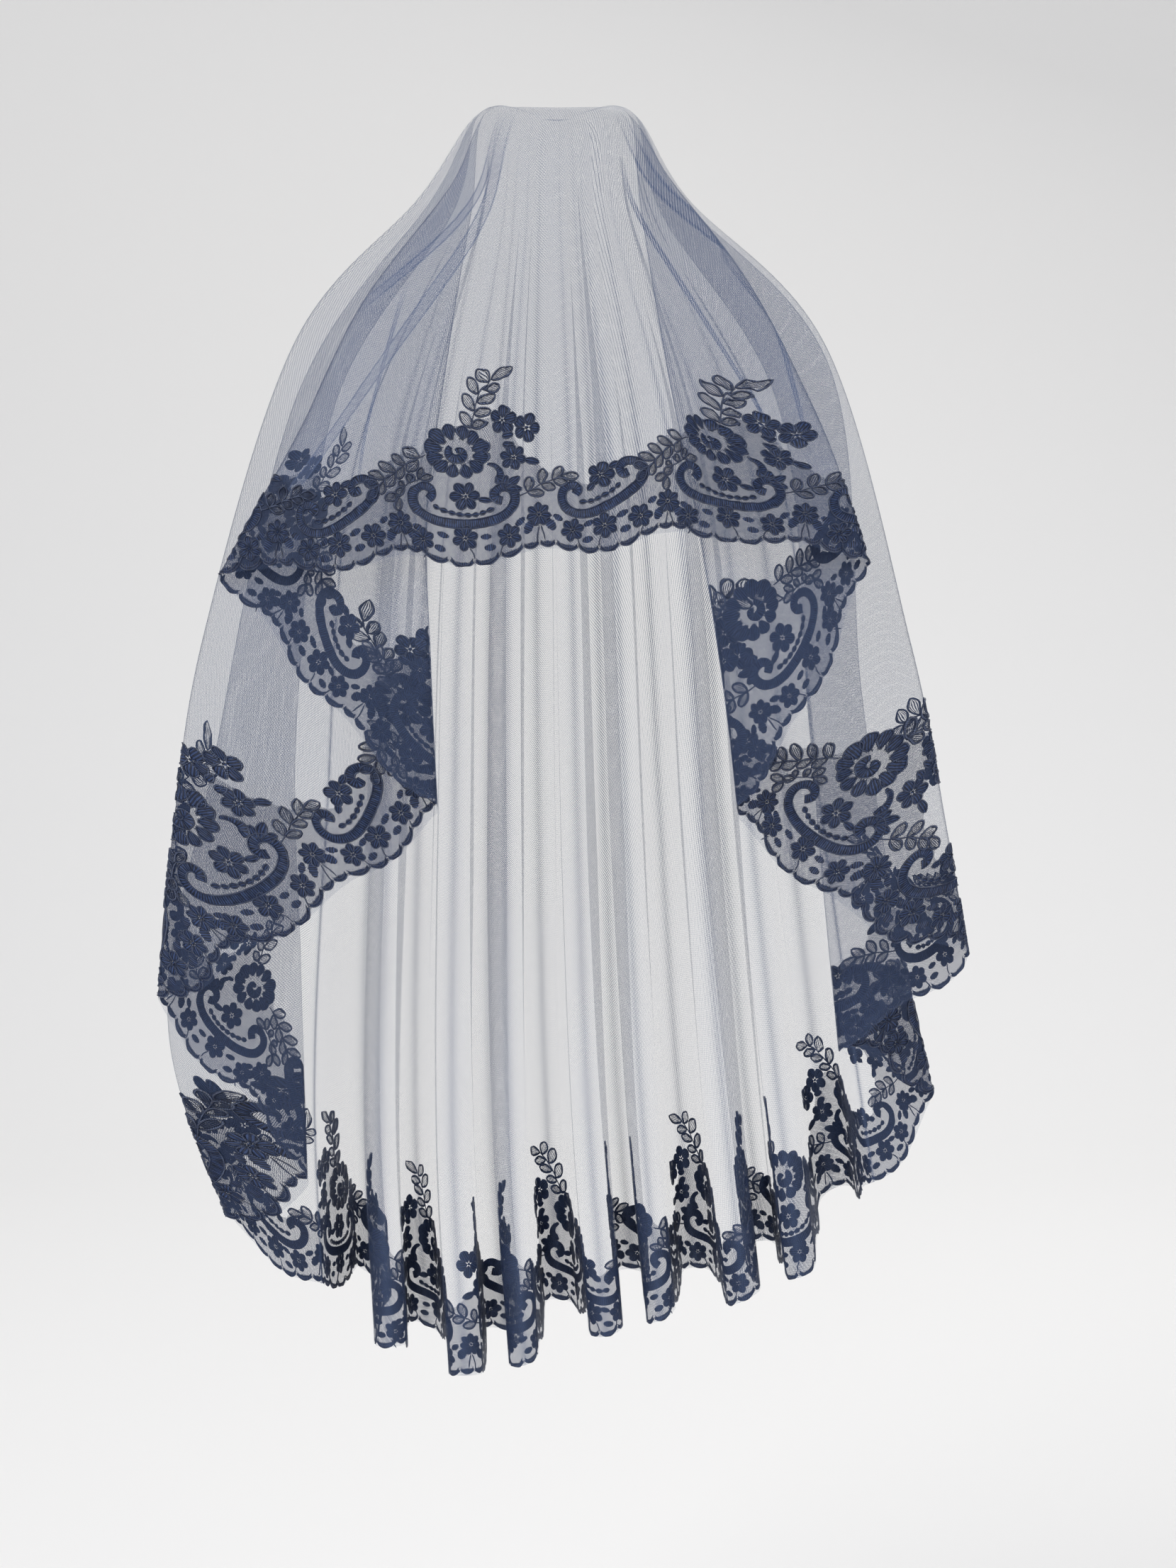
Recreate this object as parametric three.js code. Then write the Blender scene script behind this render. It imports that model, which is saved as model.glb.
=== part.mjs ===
// Mantilla veil: an oval sheet of tulle with a broad lace border, hanging over a head.
//
// Millimetres, +Z up, +Y behind. The origin is the middle of the crown, where the veil sits on
// the head. From the crown the tulle spreads over the neck and shoulders, ends short in front and
// falls in zigzag folds at both sides, one behind the other, to the deep gathers of the back.

import * as THREE from 'three';

// Driving sizes of the hanging veil
const HALF_SPAN = 280; // middle to the widest fold
const FRONT_REACH = 125; // middle to the front fall
const DROP = 888; // crown to the lowest edge
const CROWN_RADIUS = 50; // flat top that lies on the head
const CROWN_PEAK = 6; // the crown stands up at both sides
const NECK_RADIUS = 64; // gathers just under the crown, behind
const BACK_REACH = 112; // middle to the gathers of the back
const BACK_GATHERS = 8; // folds that stand out behind
const GATHER_DEPTH = 112; // front to back of one such fold, at the edge
const GATHER_VARY = 0.16; // some gathers are deeper and some shallower, by this share
const GATHER_DRIFT = 0.22; // and they stand unevenly, by this share of their spacing
const FOLD_RADIUS = 5; // roundness of a fold in front and at the sides
const GATHER_RADIUS = 10; // the same of a gather behind

// Cloth and border
const TULLE_WALL = 1.0;
const LACE_WALL = 1.2;
const SEAM_GAP = 0.35; // between tulle and lace
const LACE_HEIGHT = 130; // edge to the tips of the sprigs
const LACE_BODY = 72; // edge to the top of the band below them
const LACE_REPEAT = 170; // one large flower to the next
const LACE_START = 0.32; // from the front's middle to the first large flower, in shares of a repeat
const SCALLOP_DEPTH = 9;
const EDGE_INSET = 1.5; // tulle that shows below the lace
const GAP_BAND = 27; // height of one row of openings in the lace

// Fineness of the model
const COLUMN_STEP = 40;
const LACE_STEP = 25;
const FALL_ROWS = 7; // rows of the sheet between the crown and the lace
const ROW_EASE = 1.25; // more than 1 sets those rows closer near the neck
const PATH_STEPS = 60; // samples along one line from the crown to the edge

// Folds from the middle of the front round by the left of the picture to the back, and the same
// on the other side. A ridge folds outwards and a valley inwards; an open row only bends. Each
// station is [across, forward, down] in shares of HALF_SPAN, FRONT_REACH and DROP.
const FRONT = {
  kind: 'open', turn: 0,
  neck: [0, 0.46, 0.068], shoulder: [0, 0.59, 0.13], fall: [0, 0.82, 0.225],
  low: [0, 0.94, 0.281], edge: [0, 1, 0.327],
};
const LEFT_FOLDS = [
  {
    kind: 'open', turn: 40,
    neck: [-0.15, 0.36, 0.07], shoulder: [-0.22, 0.5, 0.135], fall: [-0.34, 0.74, 0.214],
    low: [-0.4, 0.87, 0.276], edge: [-0.43, 0.93, 0.324],
  },
  {
    kind: 'ridge', turn: 62,
    neck: [-0.25, 0.19, 0.051], shoulder: [-0.455, 0.385, 0.14], fall: [-0.593, 0.61, 0.234],
    low: [-0.693, 0.735, 0.293], edge: [-0.775, 0.855, 0.342],
  },
  {
    kind: 'valley', turn: 67,
    neck: [-0.2, 0.2, 0.068], shoulder: [-0.25, 0.46, 0.169], fall: [-0.3, 0.72, 0.295],
    low: [-0.293, 0.745, 0.408], edge: [-0.279, 0.68, 0.524],
  },
  {
    kind: 'ridge', turn: 76,
    neck: [-0.33, 0.03, 0.058], shoulder: [-0.63, 0.016, 0.167], fall: [-0.85, 0.08, 0.389],
    low: [-0.925, 0.145, 0.54], edge: [-0.968, 0.176, 0.684],
  },
  {
    kind: 'valley', turn: 85,
    neck: [-0.25, -0.08, 0.068], shoulder: [-0.536, -0.096, 0.214], fall: [-0.629, -0.144, 0.45],
    low: [-0.625, -0.176, 0.631], edge: [-0.614, -0.208, 0.802],
  },
  {
    kind: 'ridge', turn: 94,
    neck: [-0.3, -0.144, 0.056], shoulder: [-0.636, -0.192, 0.208], fall: [-0.857, -0.336, 0.495],
    low: [-0.975, -0.384, 0.698], edge: [-0.786, -0.416, 0.893],
  },
  {
    kind: 'valley', turn: 103,
    neck: [-0.236, -0.24, 0.07], shoulder: [-0.5, -0.368, 0.259], fall: [-0.579, -0.528, 0.541],
    low: [-0.614, -0.608, 0.743], edge: [-0.6, -0.656, 0.907],
  },
];
const RIGHT_FOLDS = [
  {
    kind: 'open', turn: 320,
    neck: [0.15, 0.36, 0.07], shoulder: [0.22, 0.5, 0.131], fall: [0.33, 0.74, 0.208],
    low: [0.386, 0.87, 0.261], edge: [0.407, 0.94, 0.306],
  },
  {
    kind: 'ridge', turn: 298,
    neck: [0.271, 0.1, 0.045], shoulder: [0.457, 0.256, 0.124], fall: [0.604, 0.544, 0.218],
    low: [0.679, 0.72, 0.282], edge: [0.732, 0.856, 0.34],
  },
  {
    kind: 'valley', turn: 293,
    neck: [0.2, 0.2, 0.068], shoulder: [0.25, 0.46, 0.171], fall: [0.329, 0.73, 0.306],
    low: [0.386, 0.736, 0.428], edge: [0.421, 0.68, 0.529],
  },
  {
    kind: 'ridge', turn: 284,
    neck: [0.314, 0.03, 0.058], shoulder: [0.65, 0.016, 0.169], fall: [0.857, 0.08, 0.394],
    low: [0.943, 0.144, 0.535], edge: [1.01, 0.176, 0.662],
  },
  {
    kind: 'valley', turn: 275,
    neck: [0.25, -0.064, 0.068], shoulder: [0.536, -0.08, 0.214], fall: [0.614, -0.112, 0.45],
    low: [0.65, -0.12, 0.574], edge: [0.686, -0.128, 0.689],
  },
  {
    kind: 'ridge', turn: 266,
    neck: [0.3, -0.144, 0.056], shoulder: [0.664, -0.208, 0.186], fall: [0.75, -0.32, 0.434],
    low: [0.857, -0.4, 0.631], edge: [0.96, -0.448, 0.773],
  },
  {
    kind: 'valley', turn: 257,
    neck: [0.236, -0.24, 0.07], shoulder: [0.536, -0.368, 0.248], fall: [0.65, -0.496, 0.507],
    low: [0.736, -0.576, 0.698], edge: [0.807, -0.656, 0.842],
  },
];

// The back between the two last valleys: how far each station of a gather stands out from the
// line between them, as shares of BACK_REACH and of GATHER_DEPTH, and its roundness
const STATIONS = ['neck', 'shoulder', 'fall', 'low', 'edge'];
const BACK_BULGE = { shoulder: 0.42, fall: 0.38, low: 0.36, edge: 0.4 };
const GATHER_OUT = { neck: 0.03, shoulder: 0.12, fall: 0.34, low: 0.54, edge: 0.72 };
const GATHER_IN = { neck: 0.03, shoulder: 0.08, fall: 0.16, low: 0.22, edge: 0.28 };
const ROUNDNESS = [0.2, 0.3, 0.45, 0.8, 1, 1, 1];
// How much lower than the two last valleys the back edge hangs, from left to right
const BACK_SAG = [
  { at: 0, down: 0 },
  { at: 0.16, down: 0.088 },
  { at: 0.3, down: 0.108 },
  { at: 0.45, down: 0.082 },
  { at: 0.7, down: 0.078 },
  { at: 0.88, down: 0.05 },
  { at: 1, down: 0 },
];

// Openings of one repeat of the lace: the row of the band, and the place along the repeat
const LACE_OPENINGS = [
  { row: 1, at: 0.14 },
  { row: 1, at: 0.36 },
  { row: 1, at: 0.64 },
  { row: 1, at: 0.86 },
  { row: 2, at: 0.5 },
];
// Height of the lace along one repeat, as shares of the way from LACE_BODY to LACE_HEIGHT
const SPRIG_OUTLINE = [
  { at: 0, up: 0.3 },
  { at: 0.08, up: 0.75 },
  { at: 0.17, up: 1 },
  { at: 0.22, up: 0.5 },
  { at: 0.32, up: 0.28 },
  { at: 0.42, up: 0.1 },
  { at: 0.52, up: 0.2 },
  { at: 0.62, up: 0.12 },
  { at: 0.78, up: 0.3 },
  { at: 0.9, up: 0.22 },
  { at: 1, up: 0.3 },
];

const lerp = (a, b, t) => a + (b - a) * t;

// Value of a table's column at a place between its rows
function follow(table, column, at) {
  let row = 1;
  while (row < table.length - 1 && table[row].at < at) row += 1;
  const [from, to] = [table[row - 1], table[row]];
  return lerp(from[column], to[column], (at - from.at) / (to.at - from.at));
}

// The crown's rim at one turn, with its two peaks at the sides
function crownRim(turn) {
  const angle = THREE.MathUtils.degToRad(turn);
  const peak = CROWN_PEAK * Math.abs(Math.sin(angle)) ** 3;
  return new THREE.Vector3(
    -CROWN_RADIUS * Math.sin(angle), -CROWN_RADIUS * Math.cos(angle), peak + TULLE_WALL / 2);
}

const crownMiddle = new THREE.Vector3(0, 0, TULLE_WALL / 2);

function foldFromTable(fold) {
  const stations = STATIONS.map((name) => {
    const [across, forward, down] = fold[name];
    return new THREE.Vector3(across * HALF_SPAN, -forward * FRONT_REACH, -down * DROP);
  });
  const path = [crownMiddle, crownRim(fold.turn), ...stations];
  return { kind: fold.kind, turn: fold.turn, radius: FOLD_RADIUS, path };
}

// One fold of the back, between the last valley on the left and the last one on the right
function backFold(index, count, left, right) {
  const at = (index + GATHER_DRIFT * Math.sin(1.7 * index)) / (count + 1);
  const ridge = index % 2 === 1;
  const depth = GATHER_DEPTH * (1 + GATHER_VARY * Math.sin(2.3 * index));
  const turn = lerp(left.turn, right.turn, at);
  const angle = THREE.MathUtils.degToRad(turn);
  const path = [crownMiddle, crownRim(turn)];
  STATIONS.forEach((name, station) => {
    const point = left.path[station + 2].clone().lerp(right.path[station + 2], at);
    const stand = depth * (ridge ? GATHER_OUT[name] : -GATHER_IN[name]);
    if (name === 'neck') {
      point.x = -(NECK_RADIUS + stand) * Math.sin(angle);
      point.y = -(NECK_RADIUS + stand) * Math.cos(angle);
    } else {
      point.y += BACK_REACH * BACK_BULGE[name] * Math.sin(Math.PI * at) ** 0.7 + stand;
    }
    point.z -= follow(BACK_SAG, 'down', at) * DROP * (station / (STATIONS.length - 1));
    path.push(point);
  });
  return { kind: ridge ? 'ridge' : 'valley', turn, radius: GATHER_RADIUS, path };
}

function allFolds() {
  const left = LEFT_FOLDS.map(foldFromTable);
  const right = RIGHT_FOLDS.map(foldFromTable);
  const count = BACK_GATHERS * 2 - 1;
  const back = Array.from({ length: count }, (_, i) => (
    backFold(i + 1, count, left.at(-1), right.at(-1))));
  return [foldFromTable(FRONT), ...left, ...back, ...right.reverse()];
}

// Point and direction of a fold's line at a share of the way through its stations
function onPath(path, share) {
  const spans = path.length - 1;
  const place = Math.min(share * spans, spans - 1e-9);
  const i = Math.floor(place);
  const t = place - i;
  const [p1, p2] = [path[i], path[i + 1]];
  const p0 = i > 0 ? path[i - 1] : p1.clone().multiplyScalar(2).sub(p2);
  const p3 = i + 2 <= spans ? path[i + 2] : p2.clone().multiplyScalar(2).sub(p1);
  const value = (axis, f) => f(p0[axis], p1[axis], p2[axis], p3[axis]);
  const point = (a, b, c, d) => 0.5 * (2 * b + (c - a) * t + (2 * a - 5 * b + 4 * c - d) * t * t
    + (3 * b - a - 3 * c + d) * t ** 3);
  const slope = (a, b, c, d) => 0.5 * ((c - a) + 2 * (2 * a - 5 * b + 4 * c - d) * t
    + 3 * (3 * b - a - 3 * c + d) * t * t);
  return {
    point: new THREE.Vector3(value('x', point), value('y', point), value('z', point)),
    along: new THREE.Vector3(value('x', slope), value('y', slope), value('z', slope)).normalize(),
  };
}

// The sheet's outline at one share of the way from the crown to the edge: three points round
// each fold, one on each open row, and even points on the straight cloth between them
function crossSection(folds, spacing, share) {
  const count = folds.length;
  const tips = folds.map((fold) => onPath(fold.path, share));
  const place = share * (ROUNDNESS.length - 1);
  const station = Math.min(Math.floor(place), ROUNDNESS.length - 2);
  const roundness = lerp(ROUNDNESS[station], ROUNDNESS[station + 1], place - station);
  const corners = folds.map((fold, i) => {
    const tip = tips[i].point;
    const before = tips[(i + count - 1) % count].point;
    const after = tips[(i + 1) % count].point;
    const room = 0.3 * Math.min(tip.distanceTo(before), tip.distanceTo(after));
    const reach = Math.min(fold.radius * roundness, room);
    if (fold.kind === 'open' || share === 0) return [tip, tip, tip];
    const into = tip.clone().sub(before).normalize();
    const out = after.clone().sub(tip).normalize();
    const side = tips[i].along.clone().cross(into.clone().sub(out)).multiplyScalar(0.5);
    if (fold.kind === 'valley') side.negate();
    return [
      tip.clone().addScaledVector(into, -reach).addScaledVector(side, -reach),
      tip,
      tip.clone().addScaledVector(out, reach).addScaledVector(side, reach),
    ];
  });
  const points = [];
  folds.forEach((fold, i) => {
    points.push(...(fold.kind === 'open' ? [corners[i][1]] : corners[i]));
    const end = corners[(i + 1) % count][0];
    for (let k = 1; k < spacing[i]; k += 1) {
      points.push(corners[i][2].clone().lerp(end, k / spacing[i]));
    }
  });
  return points;
}

// Columns from the crown to the edge, finely sampled, with their lengths
function makeColumns(folds) {
  const edge = folds.map((fold) => fold.path.at(-1));
  const spacing = edge.map((tip, i) => {
    const next = (i + 1) % edge.length;
    const straight = tip.distanceTo(edge[next]) - folds[i].radius - folds[next].radius;
    return Math.max(1, Math.round(straight / COLUMN_STEP));
  });
  const sections = Array.from({ length: PATH_STEPS + 1 }, (_, i) => (
    crossSection(folds, spacing, i / PATH_STEPS)));
  return sections[0].map((_, column) => {
    const points = sections.map((section) => section[column]);
    const lengths = [0];
    for (let i = 1; i < points.length; i += 1) {
      lengths.push(lengths[i - 1] + points[i].distanceTo(points[i - 1]));
    }
    return { points, lengths, length: lengths.at(-1) };
  });
}

function pointAtLength(column, length) {
  let i = 1;
  while (i < column.lengths.length - 1 && column.lengths[i] < length) i += 1;
  const [from, to] = [column.lengths[i - 1], column.lengths[i]];
  return column.points[i - 1].clone().lerp(column.points[i], (length - from) / (to - from));
}

// The sheet laid flat: each column is a ray from the crown, and the rays are as far apart as
// their ends are on the hanging edge
function layFlat(columns) {
  let angle = 0;
  let along = 0;
  return columns.map((column, i) => {
    const place = {
      angle, along, x: column.length * Math.sin(angle), y: column.length * Math.cos(angle),
    };
    const next = columns[(i + 1) % columns.length];
    const chord = column.points.at(-1).distanceTo(next.points.at(-1));
    const cosine = (column.length ** 2 + next.length ** 2 - chord ** 2)
      / (2 * column.length * next.length);
    angle += Math.acos(Math.min(cosine, 1 - 1e-6));
    along += chord;
    place.chord = chord;
    return place;
  });
}

// Distance from a flat point to the flat edge near its own column
function distanceToEdge(x, y, flat, column) {
  const reach = 14;
  let nearest = Infinity;
  for (let k = -reach; k < reach; k += 1) {
    const a = flat[(column + k + flat.length) % flat.length];
    const b = flat[(column + k + 1 + flat.length) % flat.length];
    if (b.along < a.along) continue;
    const [dx, dy] = [b.x - a.x, b.y - a.y];
    const t = Math.min(1, Math.max(0, ((x - a.x) * dx + (y - a.y) * dy) / (dx * dx + dy * dy)));
    nearest = Math.min(nearest, Math.hypot(x - a.x - t * dx, y - a.y - t * dy));
  }
  return nearest;
}

// Length along a column at which the edge is a given distance away, square to the edge
function lengthAtHeight(column, index, flat, height) {
  const { angle } = flat[index];
  let [near, far] = [column.length - height * 3, column.length];
  for (let step = 0; step < 24; step += 1) {
    const middle = (near + far) / 2;
    const away = distanceToEdge(middle * Math.sin(angle), middle * Math.cos(angle), flat, index);
    if (away > height) near = middle;
    else far = middle;
  }
  return (near + far) / 2;
}

// Rows of the sheet from the crown down, every row holding one point for each column
function sheetRows(columns, flat, heights) {
  const bandTop = columns.map((column, i) => lengthAtHeight(column, i, flat, heights[0]));
  const rows = [
    columns.map(() => crownMiddle),
    columns.map((column) => pointAtLength(column, CROWN_RADIUS * 0.55)),
    columns.map((column) => pointAtLength(column, CROWN_RADIUS)),
  ];
  for (let k = 1; k < FALL_ROWS; k += 1) {
    const share = (k / FALL_ROWS) ** ROW_EASE;
    rows.push(columns.map((column, i) => (
      pointAtLength(column, lerp(CROWN_RADIUS, bandTop[i], share)))));
  }
  const lengths = heights.map((height, k) => columns.map((column, i) => {
    if (k === 0) return bandTop[i];
    return height === 0 ? column.length : lengthAtHeight(column, i, flat, height);
  }));
  lengths.forEach((row) => rows.push(columns.map((column, i) => pointAtLength(column, row[i]))));
  return rows;
}

// Outward directions of a grid that closes on itself sideways
function gridNormals(rows) {
  const width = rows[0].length;
  const normals = rows.map((row) => row.map(() => new THREE.Vector3()));
  const addFace = (corners) => {
    const [a, b, c] = corners.map(([r, i]) => rows[r][i]);
    const face = b.clone().sub(a).cross(c.clone().sub(a));
    corners.forEach(([r, i]) => normals[r][i].add(face));
  };
  for (let r = 0; r < rows.length - 1; r += 1) {
    for (let i = 0; i < width; i += 1) {
      const n = (i + 1) % width;
      addFace([[r, i], [r, n], [r + 1, n]]);
      addFace([[r, i], [r + 1, n], [r + 1, i]]);
    }
  }
  const top = new THREE.Vector3(0, 0, 1);
  return normals.map((row, r) => row.map((normal) => (r === 0 ? top : normal.normalize())));
}

// The two triangles of a cell, split so that a twisted cell bows outwards or inwards
function splitCell(rows, normals, r, i, bowOut) {
  const n = (i + 1) % rows[0].length;
  const [a, b, c, d] = [[r, i], [r, n], [r + 1, n], [r + 1, i]];
  const sum = ([r1, i1], [r2, i2]) => rows[r1][i1].clone().add(rows[r2][i2]);
  const firstIsOut = sum(a, c).sub(sum(b, d)).dot(normals[r + 1][i]) > 0;
  return firstIsOut === bowOut ? [[a, b, c], [a, c, d]] : [[a, b, d], [b, c, d]];
}

// A closed wall of one thickness on a grid. Cells for which isOpen says so are left out, and
// the wall is closed round them
function wallOnGrid(rows, normals, { offset, thickness, bowOut, isOpen, pole }) {
  const width = rows[0].length;
  const positions = [];
  const index = new Map();
  const vertex = (r, i, layer) => {
    const key = pole && r === 0 ? `pole ${layer}` : `${r} ${i} ${layer}`;
    if (!index.has(key)) {
      const depth = offset + (layer === 'out' ? thickness / 2 : -thickness / 2);
      const point = rows[r][i].clone().addScaledVector(normals[r][i], depth);
      index.set(key, positions.length / 3);
      positions.push(point.x, point.y, point.z);
    }
    return index.get(key);
  };
  const triangles = [];
  const edges = new Map();
  const addTriangle = (corners) => {
    const out = corners.map(([r, i]) => vertex(r, i, 'out'));
    if (new Set(out).size < 3) return;
    triangles.push(...out);
    triangles.push(...corners.map(([r, i]) => vertex(r, i, 'in')).reverse());
    corners.forEach((from, k) => {
      const to = corners[(k + 1) % 3];
      edges.set(`${vertex(...from, 'out')}>${vertex(...to, 'out')}`, [from, to]);
    });
  };
  for (let r = 0; r < rows.length - 1; r += 1) {
    for (let i = 0; i < width; i += 1) {
      if (!isOpen(r, i)) splitCell(rows, normals, r, i, bowOut).forEach(addTriangle);
    }
  }
  edges.forEach(([from, to], key) => {
    const [a, b] = key.split('>');
    if (edges.has(`${b}>${a}`)) return;
    const [fromOut, fromIn] = [vertex(...from, 'out'), vertex(...from, 'in')];
    const [toOut, toIn] = [vertex(...to, 'out'), vertex(...to, 'in')];
    triangles.push(toOut, fromOut, fromIn, toOut, fromIn, toIn);
  });
  const geometry = new THREE.BufferGeometry();
  geometry.setAttribute('position', new THREE.Float32BufferAttribute(positions, 3));
  geometry.setIndex(triangles);
  geometry.computeVertexNormals();
  return geometry;
}

// The lace's own columns: those of the sheet, and even ones between them
function laceColumns(flat) {
  const list = [];
  const around = flat.at(-1).along + flat.at(-1).chord;
  const repeats = Math.round(around / LACE_REPEAT);
  flat.forEach((place, i) => {
    const parts = Math.max(1, Math.round(place.chord / LACE_STEP));
    for (let k = 0; k < parts; k += 1) {
      const phase = LACE_START - ((place.along + place.chord * (k / parts)) / around) * repeats;
      list.push({ from: i, share: k / parts, phase: phase - Math.floor(phase), at: phase });
    }
  });
  return list;
}

// A point and its outward direction on the sheet, at a column of the lace and a height
function onSheet(rows, normals, heights, place, height) {
  const first = rows.length - heights.length;
  let k = 1;
  while (k < heights.length - 1 && heights[k] > height) k += 1;
  const down = (heights[k - 1] - height) / (heights[k - 1] - heights[k]);
  const next = (place.from + 1) % rows[0].length;
  const pick = (grid) => {
    const above = grid[first + k - 1][place.from].clone()
      .lerp(grid[first + k - 1][next], place.share);
    const below = grid[first + k][place.from].clone().lerp(grid[first + k][next], place.share);
    return above.lerp(below, down);
  };
  return { point: pick(rows), normal: pick(normals).normalize() };
}

// The cells of the lace that are cut through, never two that touch
function laceOpenings(places) {
  const open = new Set();
  const width = places.length;
  places.forEach((place, i) => {
    const end = places[(i + 1) % width];
    const span = place.at - end.at;
    const tooNarrow = span * LACE_REPEAT < LACE_STEP / 2;
    LACE_OPENINGS.forEach(({ row, at }) => {
      const inside = (place.phase - at + 1) % 1 < span;
      const touches = [-1, 0, 1].some((side) => [0, 1, 2, 3].some((r) => (
        open.has(`${r} ${(i + side + width) % width}`))));
      if (inside && !tooNarrow && !touches) open.add(`${row} ${i}`);
    });
  });
  return open;
}

function makeLace(rows, normals, heights, flat) {
  const places = laceColumns(flat);
  const levels = [
    ({ phase }) => lerp(LACE_BODY, LACE_HEIGHT, follow(SPRIG_OUTLINE, 'up', phase)),
    ...heights.slice(1, -1).map((height) => () => height),
    ({ phase }) => EDGE_INSET + SCALLOP_DEPTH * Math.sin(2 * Math.PI * phase) ** 2,
  ];
  const grid = levels.map((level) => (
    places.map((place) => onSheet(rows, normals, heights, place, level(place)))));
  const open = laceOpenings(places);
  return wallOnGrid(
    grid.map((row) => row.map(({ point }) => point)),
    grid.map((row) => row.map(({ normal }) => normal)),
    {
      offset: TULLE_WALL / 2 + SEAM_GAP + LACE_WALL / 2,
      thickness: LACE_WALL,
      bowOut: true,
      isOpen: (r, i) => open.has(`${r} ${i}`),
      pole: false,
    });
}

const columns = makeColumns(allFolds());
const flat = layFlat(columns);
const heights = [LACE_HEIGHT, LACE_BODY, LACE_BODY - GAP_BAND, LACE_BODY - 2 * GAP_BAND, 0];
const rows = sheetRows(columns, flat, heights);
const normals = gridNormals(rows);

const tulle = new THREE.Mesh(
  wallOnGrid(rows, normals, {
    offset: 0, thickness: TULLE_WALL, bowOut: false, isOpen: () => false, pole: true,
  }),
  new THREE.MeshStandardMaterial({
    color: 0x7c8aa3, roughness: 0.8, metalness: 0, transparent: true, opacity: 0.55,
  }));
tulle.name = 'tulle_veil';

const lace = new THREE.Mesh(
  makeLace(rows, normals, heights, flat),
  new THREE.MeshStandardMaterial({ color: 0x1f2c4d, roughness: 0.55, metalness: 0 }));
lace.name = 'lace_border';

const veil = new THREE.Group();
veil.add(tulle, lace);

export default veil;
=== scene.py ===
"""Mantilla veil: an oval sheet of tulle with a corded floral lace border, hanging over a head.

Metres, +Z up, -Y in front. The sheet is drawn as folds from the crown to the edge, laid flat by
its own lengths, and the lace is drawn once in the flat and carried round the edge.
"""
import math

import bpy
import numpy as np
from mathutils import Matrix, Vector


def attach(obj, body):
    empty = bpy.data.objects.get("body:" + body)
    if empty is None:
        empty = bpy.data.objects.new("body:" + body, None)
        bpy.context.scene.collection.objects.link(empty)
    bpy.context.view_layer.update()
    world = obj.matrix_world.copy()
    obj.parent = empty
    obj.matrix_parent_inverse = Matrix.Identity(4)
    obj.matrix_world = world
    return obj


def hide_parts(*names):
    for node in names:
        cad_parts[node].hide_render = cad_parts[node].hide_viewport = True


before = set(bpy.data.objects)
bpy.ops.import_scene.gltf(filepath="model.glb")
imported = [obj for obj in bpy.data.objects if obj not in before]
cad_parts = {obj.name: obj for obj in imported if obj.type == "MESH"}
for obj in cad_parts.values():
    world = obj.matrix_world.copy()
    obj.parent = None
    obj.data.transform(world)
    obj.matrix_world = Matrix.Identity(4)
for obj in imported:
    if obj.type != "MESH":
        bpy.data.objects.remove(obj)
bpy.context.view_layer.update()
scene = bpy.context.scene

# Hanging form
HALF_SPAN = 0.280  # middle to the widest fold
FRONT_REACH = 0.125  # middle to the front fall
DROP = 0.888  # crown to the lowest edge
CROWN_RADIUS = 0.050
CROWN_PEAK = 0.006
NECK_RADIUS = 0.064
BACK_REACH = 0.112
BACK_GATHERS = 8
GATHER_DEPTH = 0.112
GATHER_VARY = 0.16
GATHER_DRIFT = 0.22
FOLD_RADIUS = 0.005
GATHER_RADIUS = 0.010

# Lace
LACE_REPEAT = 0.170

# Photograph
PHOTO_HEIGHT = 2212
CAMERA_PLACE = (0.021, -2.300, -0.252)
CAMERA_PITCH = math.radians(4.8)
FOCAL_PIXELS = 4790
SENSOR = 36.0

STATIONS = ("neck", "shoulder", "fall", "low", "edge")
# A fold is its kind, its turn and its stations: (across, forward, down) in shares of
# HALF_SPAN, FRONT_REACH and DROP
FRONT = (
    "open", 0, (0, 0.46, 0.068), (0, 0.59, 0.13),
    (0, 0.82, 0.225), (0, 0.94, 0.281), (0, 1, 0.327),
)
LEFT_FOLDS = (
    ("open", 40, (-0.15, 0.36, 0.07), (-0.22, 0.5, 0.135),
     (-0.34, 0.74, 0.214), (-0.4, 0.87, 0.281), (-0.43, 0.93, 0.331)),
    ("ridge", 62, (-0.25, 0.19, 0.051), (-0.455, 0.385, 0.14),
     (-0.593, 0.61, 0.234), (-0.693, 0.735, 0.293), (-0.775, 0.855, 0.342)),
    ("valley", 67, (-0.2, 0.2, 0.068), (-0.25, 0.46, 0.169),
     (-0.3, 0.72, 0.295), (-0.293, 0.745, 0.408), (-0.279, 0.68, 0.524)),
    ("ridge", 76, (-0.33, 0.03, 0.058), (-0.63, 0.016, 0.167),
     (-0.85, 0.08, 0.389), (-0.925, 0.145, 0.54), (-0.968, 0.176, 0.684)),
    ("valley", 85, (-0.25, -0.08, 0.068), (-0.536, -0.096, 0.214),
     (-0.629, -0.144, 0.45), (-0.625, -0.176, 0.631), (-0.614, -0.208, 0.802)),
    ("ridge", 94, (-0.3, -0.144, 0.056), (-0.636, -0.192, 0.208),
     (-0.857, -0.336, 0.495), (-0.975, -0.384, 0.698), (-0.786, -0.416, 0.893)),
    ("valley", 103, (-0.236, -0.24, 0.07), (-0.5, -0.368, 0.259),
     (-0.579, -0.528, 0.541), (-0.614, -0.608, 0.743), (-0.6, -0.656, 0.907)),
)
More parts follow.
